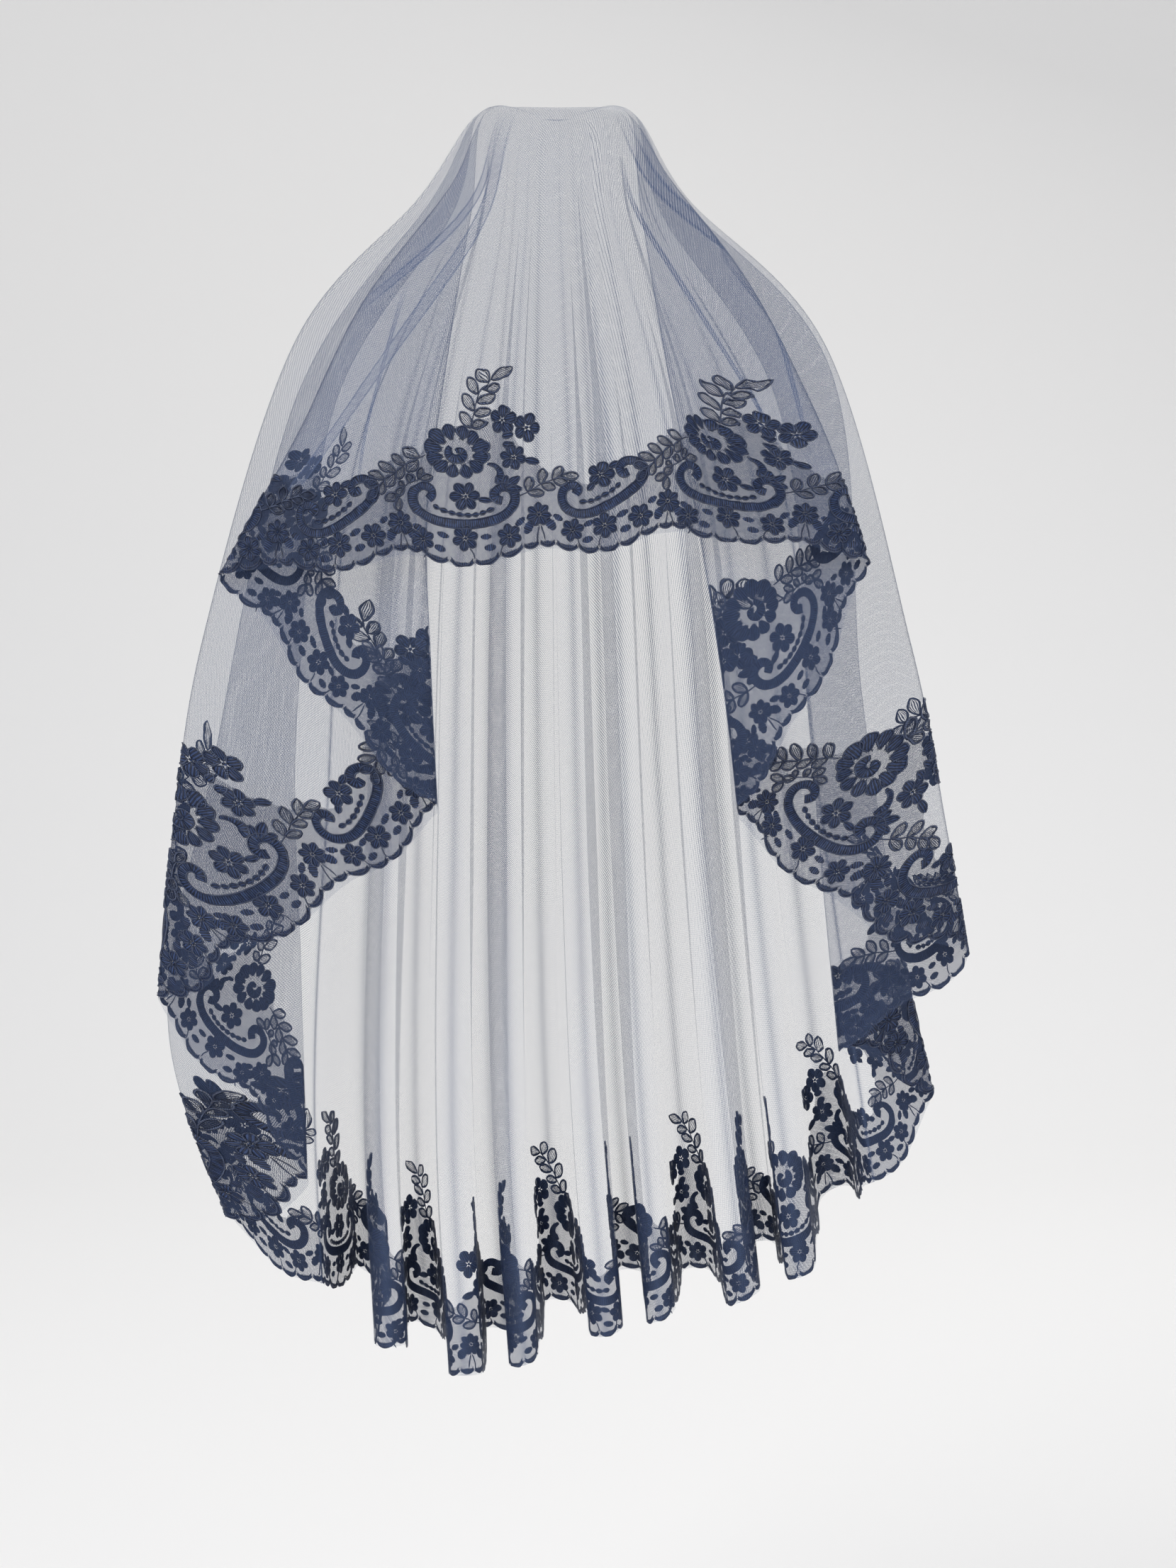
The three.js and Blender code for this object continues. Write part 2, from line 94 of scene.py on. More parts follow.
RIGHT_FOLDS = (
    ("open", 320, (0.15, 0.36, 0.07), (0.22, 0.5, 0.131),
     (0.33, 0.74, 0.206), (0.386, 0.87, 0.254), (0.407, 0.94, 0.297)),
    ("ridge", 298, (0.271, 0.1, 0.045), (0.457, 0.256, 0.124),
     (0.604, 0.544, 0.218), (0.679, 0.72, 0.282), (0.732, 0.856, 0.34)),
    ("valley", 293, (0.2, 0.2, 0.068), (0.25, 0.46, 0.171),
     (0.329, 0.73, 0.306), (0.386, 0.736, 0.428), (0.421, 0.68, 0.529)),
    ("ridge", 284, (0.314, 0.03, 0.058), (0.65, 0.016, 0.169),
     (0.857, 0.08, 0.394), (0.943, 0.144, 0.535), (1.01, 0.176, 0.662)),
    ("valley", 275, (0.25, -0.064, 0.068), (0.536, -0.08, 0.214),
     (0.614, -0.112, 0.45), (0.65, -0.12, 0.574), (0.686, -0.128, 0.689)),
    ("ridge", 266, (0.3, -0.144, 0.056), (0.664, -0.208, 0.186),
     (0.75, -0.32, 0.434), (0.857, -0.4, 0.631), (0.96, -0.448, 0.773)),
    ("valley", 257, (0.236, -0.24, 0.07), (0.536, -0.368, 0.248),
     (0.65, -0.496, 0.507), (0.736, -0.576, 0.698), (0.807, -0.656, 0.842)),
)
BACK_BULGE = dict(neck=0, shoulder=0.42, fall=0.38, low=0.36, edge=0.4)
GATHER_OUT = dict(neck=0.03, shoulder=0.12, fall=0.34, low=0.54, edge=0.72)
GATHER_IN = dict(neck=0.03, shoulder=0.08, fall=0.16, low=0.22, edge=0.28)
ROUNDNESS = (0.2, 0.3, 0.45, 0.8, 1, 1, 1)
BACK_SAG_AT = (0, 0.16, 0.3, 0.45, 0.7, 0.88, 1)
BACK_SAG = (0, 0.088, 0.108, 0.082, 0.078, 0.05, 0)


def new_object(name, data):
    """An object in the scene for a mesh, a light or a camera."""
    obj = bpy.data.objects.new(name, data)
    scene.collection.objects.link(obj)
    return obj


def camera():
    """The photograph's view: its place, pitch and focal length."""
    data = bpy.data.cameras.new("camera")
    data.sensor_fit = "VERTICAL"
    data.sensor_height = SENSOR
    data.lens = FOCAL_PIXELS / PHOTO_HEIGHT * SENSOR
    data.clip_end = 50
    obj = new_object("camera", data)
    obj.location = CAMERA_PLACE
    obj.rotation_euler = (math.pi / 2 - CAMERA_PITCH, 0, 0)
    scene.camera = obj


def crown_rim(turn):
    """Point of the crown's rim at one turn; the rim stands up at both sides."""
    angle = math.radians(turn)
    peak = CROWN_PEAK * abs(math.sin(angle)) ** 3
    return (-CROWN_RADIUS * math.sin(angle), -CROWN_RADIUS * math.cos(angle), peak)


def table_fold(fold):
    """Kind, turn, roundness and path of one fold of the tables."""
    kind, turn, *stations = fold
    path = [(0, 0, 0), crown_rim(turn)]
    for across, forward, down in stations:
        path.append((across * HALF_SPAN, -forward * FRONT_REACH, -down * DROP))
    return kind, turn, FOLD_RADIUS, np.array(path)


def back_fold(index, count, left, right):
    """One gather of the back, between the last valley of each side."""
    at = (index + GATHER_DRIFT * math.sin(1.7 * index)) / (count + 1)
    ridge = index % 2 == 1
    depth = GATHER_DEPTH * (1 + GATHER_VARY * math.sin(2.3 * index))
    turn = left[1] + (right[1] - left[1]) * at
    angle = math.radians(turn)
    path = [np.zeros(3), np.array(crown_rim(turn))]
    for station, name in enumerate(STATIONS):
        point = left[3][station + 2] * (1 - at) + right[3][station + 2] * at
        stand = depth * (GATHER_OUT[name] if ridge else -GATHER_IN[name])
        if name == "neck":
            reach = NECK_RADIUS + stand
            point[:2] = -reach * math.sin(angle), -reach * math.cos(angle)
        else:
            point[1] += BACK_REACH * BACK_BULGE[name] * math.sin(math.pi * at) ** 0.7 + stand
        sag = np.interp(at, BACK_SAG_AT, BACK_SAG)
        point[2] -= sag * DROP * station / (len(STATIONS) - 1)
        path.append(point)
    return "ridge" if ridge else "valley", turn, GATHER_RADIUS, np.array(path)


def all_folds():
    """Every fold in order: front, left of the picture, back, right."""
    left = [table_fold(fold) for fold in LEFT_FOLDS]
    right = [table_fold(fold) for fold in RIGHT_FOLDS]
    count = BACK_GATHERS * 2 - 1
    back = [back_fold(i + 1, count, left[-1], right[-1]) for i in range(count)]
    return [table_fold(FRONT)] + left + back + right[::-1]


def spline(p0, p1, p2, p3, t):
    """A smooth curve from p1 to p2 and its direction, at t from 0 to 1."""
    bend = 2 * p0 - 5 * p1 + 4 * p2 - p3
    twist = 3 * p1 - p0 - 3 * p2 + p3
    point = 0.5 * (2 * p1 + (p2 - p0) * t + bend * t * t + twist * t**3)
    return point, 0.5 * ((p2 - p0) + 2 * bend * t + 3 * twist * t * t)


def on_paths(paths, share):
    """Points and directions of all fold lines at one share of their stations."""
    spans = paths.shape[1] - 1
    place = min(share * spans, spans - 1e-9)
    i = int(place)
    t = place - i
    p1, p2 = paths[:, i], paths[:, i + 1]
    p0 = paths[:, i - 1] if i > 0 else 2 * p1 - p2
    p3 = paths[:, i + 2] if i + 2 <= spans else 2 * p2 - p1
    point, along = spline(p0, p1, p2, p3, t)
    return point, unit(along)


def unit(vectors):
    """Vectors of length 1."""
    return vectors / np.maximum(np.linalg.norm(vectors, axis=-1, keepdims=True), 1e-12)


ROUND_STEPS = 9  # columns round one fold
STRAIGHT_STEP = 0.0085  # columns on the straight cloth between folds
PATH_STEPS = 150


def cross_section(folds, spacing, share):
    """The sheet's outline at one share of the way from the crown to the edge."""
    paths = np.array([fold[3] for fold in folds])
    tip, along = on_paths(paths, share)
    before, after = np.roll(tip, 1, 0), np.roll(tip, -1, 0)
    into, out = unit(tip - before), unit(after - tip)
    gap_before = np.linalg.norm(tip - before, axis=1)
    gap_after = np.linalg.norm(after - tip, axis=1)
    is_open = np.array([fold[0] == "open" for fold in folds])
    sign = np.array([-1 if fold[0] == "valley" else 1 for fold in folds])
    radius = np.array([fold[2] for fold in folds])
    roundness = np.interp(share * 6, range(7), ROUNDNESS)
    reach = np.minimum(radius * roundness, 0.3 * np.minimum(gap_before, gap_after))
    side = np.cross(along, into - out) * 0.5 * sign[:, None] * reach[:, None]
    side[is_open] = 0
    reach_in = np.where(is_open, 0.45 * gap_before, reach)[:, None]
    reach_out = np.where(is_open, 0.45 * gap_after, reach)[:, None]
    axis = unit(into - out + 1e-9)
    push = np.where(is_open, 0, reach / 3 * np.linalg.norm(into - out, axis=1) / 2)[:, None]
    a = tip - into * reach_in - side
    b = tip - side + axis * push
    c = tip + side + axis * push
    d = tip + out * reach_out + side
    t = np.linspace(0, 1, ROUND_STEPS)[None, :, None]
    curve = (
        a[:, None] * (1 - t) ** 3 + 3 * b[:, None] * t * (1 - t) ** 2
        + 3 * c[:, None] * t**2 * (1 - t) + d[:, None] * t**3
    )
    points = []
    for i, count in enumerate(spacing):
        points.append(curve[i])
        k = np.arange(1, count)[:, None] / count
        points.append(d[i] * (1 - k) + a[(i + 1) % len(folds)] * k)
    return np.roll(np.concatenate(points), -(ROUND_STEPS // 2), 0)


def crease_columns(folds, spacing):
    """How sharply each column is bent: 1 on the line of a fold, 0 on open cloth."""
    bend = []
    for fold, count in zip(folds, spacing):
        turn = np.zeros(ROUND_STEPS + count - 1)
        if fold[0] != "open":
            middle = ROUND_STEPS // 2
            turn[middle - 1:middle + 2] = np.array([0.2, 1, 0.2]) * FOLD_RADIUS / fold[2]
        bend.append(turn)
    return np.roll(np.concatenate(bend), -(ROUND_STEPS // 2))


LENGTH_STEP = 0.003  # samples along a column, by length
SPARE = 0.045  # columns run on this far past the edge, for the trimming


def make_columns():
    """Every column at even lengths from the crown, the columns' full lengths and their creases."""
    folds = all_folds()
    edge = np.array([fold[3][-1] for fold in folds])
    gaps = np.linalg.norm(np.roll(edge, -1, 0) - edge, axis=1)
    spacing = [max(1, round((gap - 2 * FOLD_RADIUS) / STRAIGHT_STEP)) for gap in gaps]
    shares = np.linspace(0, 1, PATH_STEPS + 1)
    sections = np.array([cross_section(folds, spacing, share) for share in shares])
    steps = np.linalg.norm(np.diff(sections, axis=0), axis=2)
    lengths = np.vstack([np.zeros(sections.shape[1]), np.cumsum(steps, axis=0)])
    total = lengths[-1]
    grid = np.arange(0, total.max() + SPARE, LENGTH_STEP)
    table = np.empty((sections.shape[1], len(grid), 3))
    for j in range(sections.shape[1]):
        path, at = sections[:, j], lengths[:, j]
        for axis in range(3):
            table[j, :, axis] = np.interp(grid, at, path[:, axis])
        past = grid > at[-1]
        heading = unit(path[-1] - path[-6])
        table[j, past] = path[-1] + heading * (grid[past] - at[-1])[:, None]
    return table, total, crease_columns(folds, spacing)


def smooth_round(values, weights, reach):
    """Values smoothed round a closed row, over a reach of the summed weights."""
    around = np.concatenate([[0], np.cumsum(weights)])
    at, total = around[:-1], around[-1]
    away = (at[None, :] - at[:, None] + total / 2) % total - total / 2
    kernel = np.exp(-0.5 * (away / reach) ** 2) * weights[None, :]
    return kernel @ values / kernel.sum(axis=1)


EDGE_SMOOTH = 0.055  # the outline of the flat sheet is smoothed over this length
LEAST_TURN = 0.55  # least share of the edge's length that runs round the crown, not away from it


def lay_flat(table, total):
    """Angles of the columns in the flat sheet, and the smooth radius of its outline."""
    radius = total.copy()
    rows = np.arange(len(total))
    for _ in range(3):
        place = radius / LENGTH_STEP
        low = place.astype(int)
        part = (place - low)[:, None]
        edge = table[rows, low] * (1 - part) + table[rows, low + 1] * part
        chord = np.linalg.norm(np.roll(edge, -1, 0) - edge, axis=1)
        after = np.roll(radius, -1)
        cosine = (radius**2 + after**2 - chord**2) / (2 * radius * after)
        angle = np.maximum(np.arccos(np.clip(cosine, -1, 1)), LEAST_TURN * chord / radius)
        radius = smooth_round(total, chord, EDGE_SMOOTH)
    return angle, radius


class Sheet:
    """The hanging sheet: points by flat angle and distance from the crown."""

    def __init__(self):
        table, total, self.crease = make_columns()
        self.turns, self.radius = lay_flat(table, total)
        self.angles = np.concatenate([[0], np.cumsum(self.turns)])
        self.full = self.angles[-1]
        self.table = table
        self.normals = self.find_normals(table)
        self.ripple()
        self.normals = self.find_normals(self.table)

    def find_normals(self, table):
        """Outward directions at every sample."""
        across = np.roll(table, -1, 0) - np.roll(table, 1, 0)
        down = np.gradient(table, axis=1)
        normal = unit(np.cross(across, down))
        normal[:, :3] = (0, 0, 1)
        return normal

    def ripple(self):
        """Soft waves that run down from the crown, over the folds."""
        angle = self.angles[:-1, None]
        length = np.arange(self.table.shape[1])[None, :] * LENGTH_STEP
        grow = np.clip((length - 0.08) / 0.5, 0, 1)
        wave = np.zeros_like(self.table[..., 0])
        for waves, size, lean in ((37, 0.0016, 1.3), (59, 0.0009, -2.2)):
            turns = round(waves * self.full / (2 * math.pi)) * 2 * math.pi / self.full
            wave += size * np.sin(turns * angle + lean * np.sin(2.1 * length + waves)
                                  + 0.6 * np.sin(3 * 2 * math.pi / self.full * angle + waves))
        self.table = self.table + self.normals * (wave * grow)[..., None]

    def place(self, angle, length):
        """Points and outward directions at flat angles and lengths from the crown."""
        angle = np.mod(angle, self.full)
        column = np.clip(np.searchsorted(self.angles, angle, "right") - 1, 0, len(self.turns) - 1)
        part = ((angle - self.angles[column]) / self.turns[column])[..., None]
        after = (column + 1) % len(self.turns)
        row = np.clip(length / LENGTH_STEP, 0, self.table.shape[1] - 2)
        low = row.astype(int)
        down = (row - low)[..., None]

        def pick(grid):
            first = grid[column, low] * (1 - down) + grid[column, low + 1] * down
            second = grid[after, low] * (1 - down) + grid[after, low + 1] * down
            return first * (1 - part) + second * part

        return pick(self.table), unit(pick(self.normals))

    def edge_tables(self, samples=4000):
        """The flat sheet's outline, closed on itself: length along it, angle, radius, heading."""
        angle = np.linspace(0, self.full, samples, endpoint=False)
        radius = np.interp(angle, self.angles, np.append(self.radius, self.radius[0]))
        step = self.full / samples
        slope = (np.roll(radius, -1) - np.roll(radius, 1)) / (2 * step)
        speed = np.hypot(radius, slope)
        along = np.concatenate([[0], np.cumsum(speed * step)])
        heading = np.stack([radius, slope], 1) / speed[:, None]
        return (
            along, np.append(angle, self.full), np.append(radius, radius[0]),
            np.vstack([heading, heading[:1]]),
        )


def mesh_object(name, vertices, faces, material, uvs):
    """A mesh piece of quads, riding on the root body."""
    mesh = bpy.data.meshes.new(name)
    mesh.vertices.add(len(vertices))
    mesh.vertices.foreach_set("co", np.asarray(vertices, np.float32).ravel())
    mesh.loops.add(faces.size)
    mesh.loops.foreach_set("vertex_index", faces.astype(np.int32).ravel())
    mesh.polygons.add(len(faces))
    mesh.polygons.foreach_set("loop_start", np.arange(0, faces.size, 4, dtype=np.int32))
    mesh.polygons.foreach_set("loop_total", np.full(len(faces), 4, dtype=np.int32))
    mesh.polygons.foreach_set("use_smooth", np.ones(len(faces), dtype=bool))
    layer = mesh.uv_layers.new(name="flat")
    layer.data.foreach_set("uv", np.asarray(uvs, np.float32)[faces.ravel()].ravel())
    mesh.update(calc_edges=True)
    mesh.validate()
    mesh.materials.append(material)
    obj = new_object(name, mesh)
    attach(obj, "root")
    return obj


TULLE_ROWS = 140
TULLE_RISE = 0.8  # the tulle is cut at this share of the lace's big scallops


def tulle(sheet, edge, material):
    """The tulle: one fine sheet from the crown to the edge, cut along the big scallops."""
    columns = len(sheet.turns)
    share = np.linspace(0, 1, TULLE_ROWS + 1)[1:]
    at = np.interp(sheet.angles[:-1], edge[1], edge[0]) * 1000
    _, stretch = lace_fit(edge)
    cut = edge_rise((-at - START) / stretch) * TULLE_RISE / 1000
    reach = sheet.radius - cut
    length = share[None, :] * reach[:, None]
    angle = np.repeat(sheet.angles[:-1, None], TULLE_ROWS, 1)
    points, _ = sheet.place(angle, length)
    vertices = np.vstack([[sheet.table[0, 0]], points.reshape(-1, 3)])
    j = np.arange(columns)
    n = (j + 1) % columns
    r = np.arange(TULLE_ROWS - 1)
    base = 1 + j[:, None] * TULLE_ROWS + r[None, :]
    side = 1 + n[:, None] * TULLE_ROWS + r[None, :]
    quads = np.stack([base, side, side + 1, base + 1], -1).reshape(-1, 4)
    fan = [(1 + int(a) * TULLE_ROWS, 1 + int(b) * TULLE_ROWS, 0) for a, b in zip(j, n)]
    mesh = bpy.data.meshes.new("tulle_sheet")
    mesh.from_pydata(vertices.tolist(), [], quads.tolist() + fan)
    mesh.materials.append(material)
    mesh.polygons.foreach_set("use_smooth", [True] * len(mesh.polygons))
    uv = mesh.uv_layers.new(name="flat")
    half = sheet.full / 2
    loops = np.empty(len(mesh.loops), dtype=np.int32)
    mesh.loops.foreach_get("vertex_index", loops)
    column = np.where(loops > 0, (loops - 1) // TULLE_ROWS, 0)
    row = np.where(loops > 0, (loops - 1) % TULLE_ROWS, 0)
    turn = sheet.angles[column]
    turn = np.where(turn > half, turn - sheet.full, turn)
    far = np.where(loops > 0, share[row] * reach[column], 0)
    flat = np.stack([far * np.sin(turn), far * np.cos(turn)], 1)
    uv.data.foreach_set("uv", flat.astype(np.float32).ravel())
    bend = mesh.attributes.new("crease", "FLOAT", "POINT")
    grow = np.interp(share, (0, 0.1, 0.3), (0, 0.3, 1))
    sharp = sheet.crease[:, None] * grow[None, :]
    bend.data.foreach_set("value", np.concatenate([[0], sharp.ravel()]).astype(np.float32))
    obj = new_object("tulle_sheet", mesh)
    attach(obj, "root")
    return obj


LEAN_AT = (-0.75, -0.55, -0.32, -0.08, 0.15)  # flat angles round the front
LEAN = (1, 0.75, -0.1, 0.6, 1)  # 1 is square to the edge, 0 straight towards the crown


def on_edge(sheet, edge, u, w, h):
    """Points at u along the sheet's edge, w in from it and h off its outer face."""
    along, angles, radii, heading = edge
    u = np.mod(u, along[-1])
    a = np.interp(u, along, angles)
    r = np.interp(a, angles, radii)
    reach_out = r - w * np.interp(a, angles, heading[:, 0])
    signed = np.where(a > sheet.full / 2, a - sheet.full, a)
    reach_side = w * np.interp(a, angles, heading[:, 1]) * np.interp(signed, LEAN_AT, LEAN)
    point, normal = sheet.place(
        a + np.arctan2(reach_side, reach_out), np.hypot(reach_out, reach_side)
    )
    return point + normal * np.asarray(h)[..., None]


def grid_quads(row, next_row, column, next_column, columns):
    """Corner numbers of the quads of a grid that has this many columns."""
    def corner(r, c):
        return r[:, None] * columns + c[None, :]

    return np.stack([
        corner(row, column), corner(next_row, column),
        corner(next_row, next_column), corner(row, next_column),
    ], -1).reshape(-1, 4)


def pairs(first, second):
    """A grid of pairs out of two arrays that fit each other."""
    return np.stack(np.broadcast_arrays(first, second), -1)


class Trimming:
    """Stitched shapes in the flat: u along the edge, w up from it, h off the cloth, all in mm."""

    def __init__(self):
        self.points, self.faces, self.uvs, self.count = [], [], [], 0

    def grid(self, points, uvs, closed_rows=False, closed_columns=False):
        """Add a sheet of quads over rows of points."""
        rows, columns = points.shape[:2]
        i = np.arange(rows if closed_rows else rows - 1)
        j = np.arange(columns if closed_columns else columns - 1)
        below, beside = (i + 1) % rows, (j + 1) % columns
        self.points.append(points.reshape(-1, 3))
        self.uvs.append(uvs.reshape(-1, 2))
        self.faces.append(self.count + grid_quads(i, below, j, beside, columns))
        self.count += rows * columns


def smooth_path(points, step, closed=False):
    """A smooth curve through points, sampled evenly."""
    p = np.asarray(points, float)
    if closed:
        q = np.vstack([p[-1:], p, p[:2]])
    else:
        q = np.vstack([2 * p[:1] - p[1:2], p, 2 * p[-1:] - p[-2:-1]])
    t = np.linspace(0, 1, 9)[:-1, None]
    pieces = []
    for k in range(1, len(q) - 2):
        pieces.append(spline(*q[k - 1:k + 3], t)[0])
    line = np.vstack(pieces + [q[-2:-1]])
    far = np.concatenate([[0], np.cumsum(np.linalg.norm(np.diff(line, axis=0), axis=1))])
    count = max(3, round(far[-1] / step))
    at = np.linspace(0, far[-1], count + 1)
    if closed:
        at = at[:-1]
    return np.stack([np.interp(at, far, line[:, k]) for k in range(p.shape[1])], 1)


def sides(path, closed=False):
    """Unit vectors to the left of a path, at each of its points."""
    if closed:
        ahead = np.roll(path, -1, 0) - np.roll(path, 1, 0)
    else:
        ahead = np.gradient(path, axis=0)
    ahead = unit(ahead[:, :2])
    return np.stack([-ahead[:, 1], ahead[:, 0]], 1)


CORD = 0.58  # radius of the raised outline cord, mm
LEAF_CORD = 0.92  # the same round an open leaf, where the cord is fuller
VEIN = 0.34  # radius of a single thread in an open leaf, mm
CORD_STEP = 1.7
FILL_FOOT, FILL_TOP = 0.30, 0.85  # heights of satin over the cloth at its rim and middle, mm


def add_cord(trim, points, radius=CORD, closed=False, step=CORD_STEP, height=0.75):
    """A thread laid on the cloth along a curve, with a three-sided section."""
    path = smooth_path(points, step, closed)
    side = sides(path, closed)
    around = math.pi / 2 + np.arange(3) * math.pi * 2 / 3
    place = np.empty((len(path), 3, 3))
    place[..., :2] = path[:, None, :2] + side[:, None] * (radius * np.cos(around))[None, :, None]
    place[..., 2] = height + radius * 0.85 * np.sin(around)
    if not closed:
        place[0, :, :2], place[-1, :, :2] = path[0, :2], path[-1, :2]
    far = np.arange(len(path)) * step
    uvs = pairs(far[:, None], around)
    trim.grid(place, uvs, closed_rows=closed, closed_columns=True)


BLUNT = 0.62  # less than 1 rounds the ends of leaves and petals


def leaf_shape(base, tip, width, belly=0.5):
    """A leaf's or petal's base, its directions, its length and a function for its half width."""
    base, tip = np.array(base, float), np.array(tip, float)
    axis = tip - base
    length = np.linalg.norm(axis)
    ahead = axis / length
    side = np.array([-ahead[1], ahead[0]])
    bend = math.log(0.5) / math.log(belly)

    def half(t):
        return width / 2 * np.sin(math.pi * np.clip(t, 0, 1) ** bend) ** BLUNT

    return base, ahead, side, length, half


def add_satin_leaf(trim, base, tip, width, belly=0.5, ragged=0.0, top=FILL_TOP):
    """A domed patch of satin stitch; its stitches run lengthwise, or across where it is ragged."""
    base, ahead, side, length, half = leaf_shape(base, tip, width, belly)
    rows = 9 if ragged else 7
    t = np.linspace(0.03, 0.97, rows)
    wide = half(t)
    if ragged:
        wide = wide * (1 + ragged * np.where(np.arange(rows) % 2, 1, -1)) + 0.12
    across = np.array([-1, -0.45, 0.45, 1])
    flat = base + ahead * (t * length)[:, None, None] + side * (wide[:, None] * across)[..., None]
    dome = (1 - across**2)[None, :] * (np.sin(math.pi * t) ** 0.5)[:, None]
    lift = FILL_FOOT + (top - FILL_FOOT) * dome
    place = np.concatenate([flat, lift[..., None]], -1)
    far = (t * length)[:, None]
    trim.grid(place, pairs(far, across) if ragged else pairs(wide[:, None] * across, far))


def add_leaf_cord(trim, base, tip, width, belly=0.5, radius=CORD):
    """The cord round a leaf or petal."""
    base, ahead, side, length, half = leaf_shape(base, tip, width, belly)
    t = np.array([0, 0.12, 0.35, 0.62, 0.86, 1, 0.86, 0.62, 0.35, 0.12])
    sign = np.array([0, 1, 1, 1, 1, 0, -1, -1, -1, -1])
    ring = base + ahead * (t * length)[:, None] + side * (half(t) * sign)[:, None]
    add_cord(trim, ring, radius=radius, closed=True)


def add_petal(fill, cords, base, tip, width, belly=0.5):
    """A satin petal or leaf inside its cord."""
    add_satin_leaf(fill, base, tip, width * 0.94, belly)
    add_leaf_cord(cords, base, tip, width, belly)


OPEN_WIDER = 1.1  # open leaves are this much wider than their table says
OPEN_BELLY = 0.55
VEINS = (-0.56, -0.2, 0.2, 0.56)  # in shares of the half width


def add_open_leaf(cords, base, tip, width):
    """A leaf drawn by its cord, with single threads for its veins."""
    width *= OPEN_WIDER
    add_leaf_cord(cords, base, tip, width, OPEN_BELLY, LEAF_CORD)
    origin, ahead, side, length, half = leaf_shape(base, tip, width, OPEN_BELLY)
    for share in VEINS:
        t = np.linspace(0.06, 0.94, 5)
        line = origin + ahead * (t * length)[:, None] + side * (half(t) * share)[:, None]
        add_cord(cords, line, radius=VEIN, step=2.8, height=0.5)


PETAL_BELLY = 0.62  # where a petal is widest, from its base
PETAL_SHARE = 0.62  # its width, in shares of its part of the flower's round
PETAL_FOOT = 0.16  # where it starts, in shares of the flower's radius


def add_flower(fill, cords, centre, radius, petals, turn):
    """A small flower: satin petals round a knot."""
    cu, cw = centre
    width = 2 * math.pi * radius * PETAL_SHARE / petals
    for k in range(petals):
        angle = math.radians(turn + 360 * k / petals)
        ahead = np.array([math.cos(angle), math.sin(angle)])
        base = np.array(centre) + ahead * radius * PETAL_FOOT
        tip = np.array(centre) + ahead * radius
        add_petal(fill, cords, base, tip, width, belly=PETAL_BELLY)
    add_satin_leaf(fill, (cu - 1.1, cw), (cu + 1.1, cw), 2.0, top=FILL_TOP + 0.3)


def add_band(fill, cords, points, half_widths, rib=1.5):
    """A scroll of satin stitch with ribs across it, between two cords."""
    path = smooth_path(points, rib / 4)
    knots = smooth_path(points, CORD_STEP)
    share = np.linspace(0, 1, len(path))
    given = np.linspace(0, 1, len(half_widths))
    wide = np.interp(share, given, half_widths)
    side = sides(path)
    across = np.array([-1, -0.5, 0.5, 1])
    place = np.empty((len(path), 4, 3))
    place[..., :2] = path[:, None] + side[:, None] * (wide[:, None] * across)[..., None]
    ridge = np.tile([0, 0.6, 1, 0.6], len(path) // 4 + 1)[:len(path)]
    dome = (1 - across**2)[None, :] * (0.1 + 0.9 * ridge[:, None])
    place[..., 2] = FILL_FOOT + (FILL_TOP - FILL_FOOT) * dome
    far = np.arange(len(path)) * rib / 4
    fill.grid(place, pairs(far[:, None], wide[:, None] * across))
    wide = np.interp(np.linspace(0, 1, len(knots)), given, half_widths)
    side = sides(knots)
    for sign in (-1, 1):
        add_cord(cords, knots + side * (wide * sign)[:, None])


CHAIN_PITCH = 5.2
CHAIN_DEPTH = 1.6  # half width at a link's middle


def add_chain(fill, cords, points):
    """Two cords crossing to and fro, with a stitched lens in each opening."""
    path = smooth_path(points, CHAIN_PITCH / 4)
    links = (len(path) - 1) // 4
    path = path[:links * 4 + 1]
    side = sides(path)
    sway = np.sin(np.arange(len(path)) * math.pi / 4) * CHAIN_DEPTH
    for sign in (-1, 1):
        line = path + side * (sway * sign)[:, None]
        add_cord(cords, line, radius=CORD * 0.85, step=CHAIN_PITCH / 5)
    for k in range(links):
        add_satin_leaf(fill, path[4 * k], path[4 * k + 4], CHAIN_DEPTH * 1.5)


def edge_rise(u):
    """How far the lace's edge stands up from the cloth's edge, in big scallops."""
    s = np.interp(np.mod(u, REPEAT), RISE_AT, (0, 0.5, 1, 1.5, 2))
    return np.where(s < 1, *TREE_RISE) * 0.5 * (1 - np.cos(2 * math.pi * s))


REPEAT = 182  # the repeat as it is drawn below; it is narrowed to LACE_REPEAT when it is placed
NARROW = LACE_REPEAT * 1000 / REPEAT
RISE_AT = (0, 50, 93, 137, REPEAT)
TREE_RISE = (8, 12)  # at the first and the second tree
SCALLOP_ENDS = (-31, -13, 4, 22, 38.5, 49.5, 60.5, 76, 90, 104, 118.5, 131.5, 141.5, 151)
EDGE_FOOT = 3.4  # from the cloth's edge to the ends of the small scallops, mm
DEPTH_SHARE, DEPTH_MORE = 0.23, 0.9  # a small scallop's depth: a share of its span, and mm more
ARC_FULLNESS = 0.72  # less than 1 makes the small scallops squarer
CORDS_APART = 1.8  # between the two cords of a small scallop
TOOTH, TOOTH_MORE, TOOTH_VARY = 2.2, 2.0, 0.55  # its teeth at its ends, more at its middle, uneven


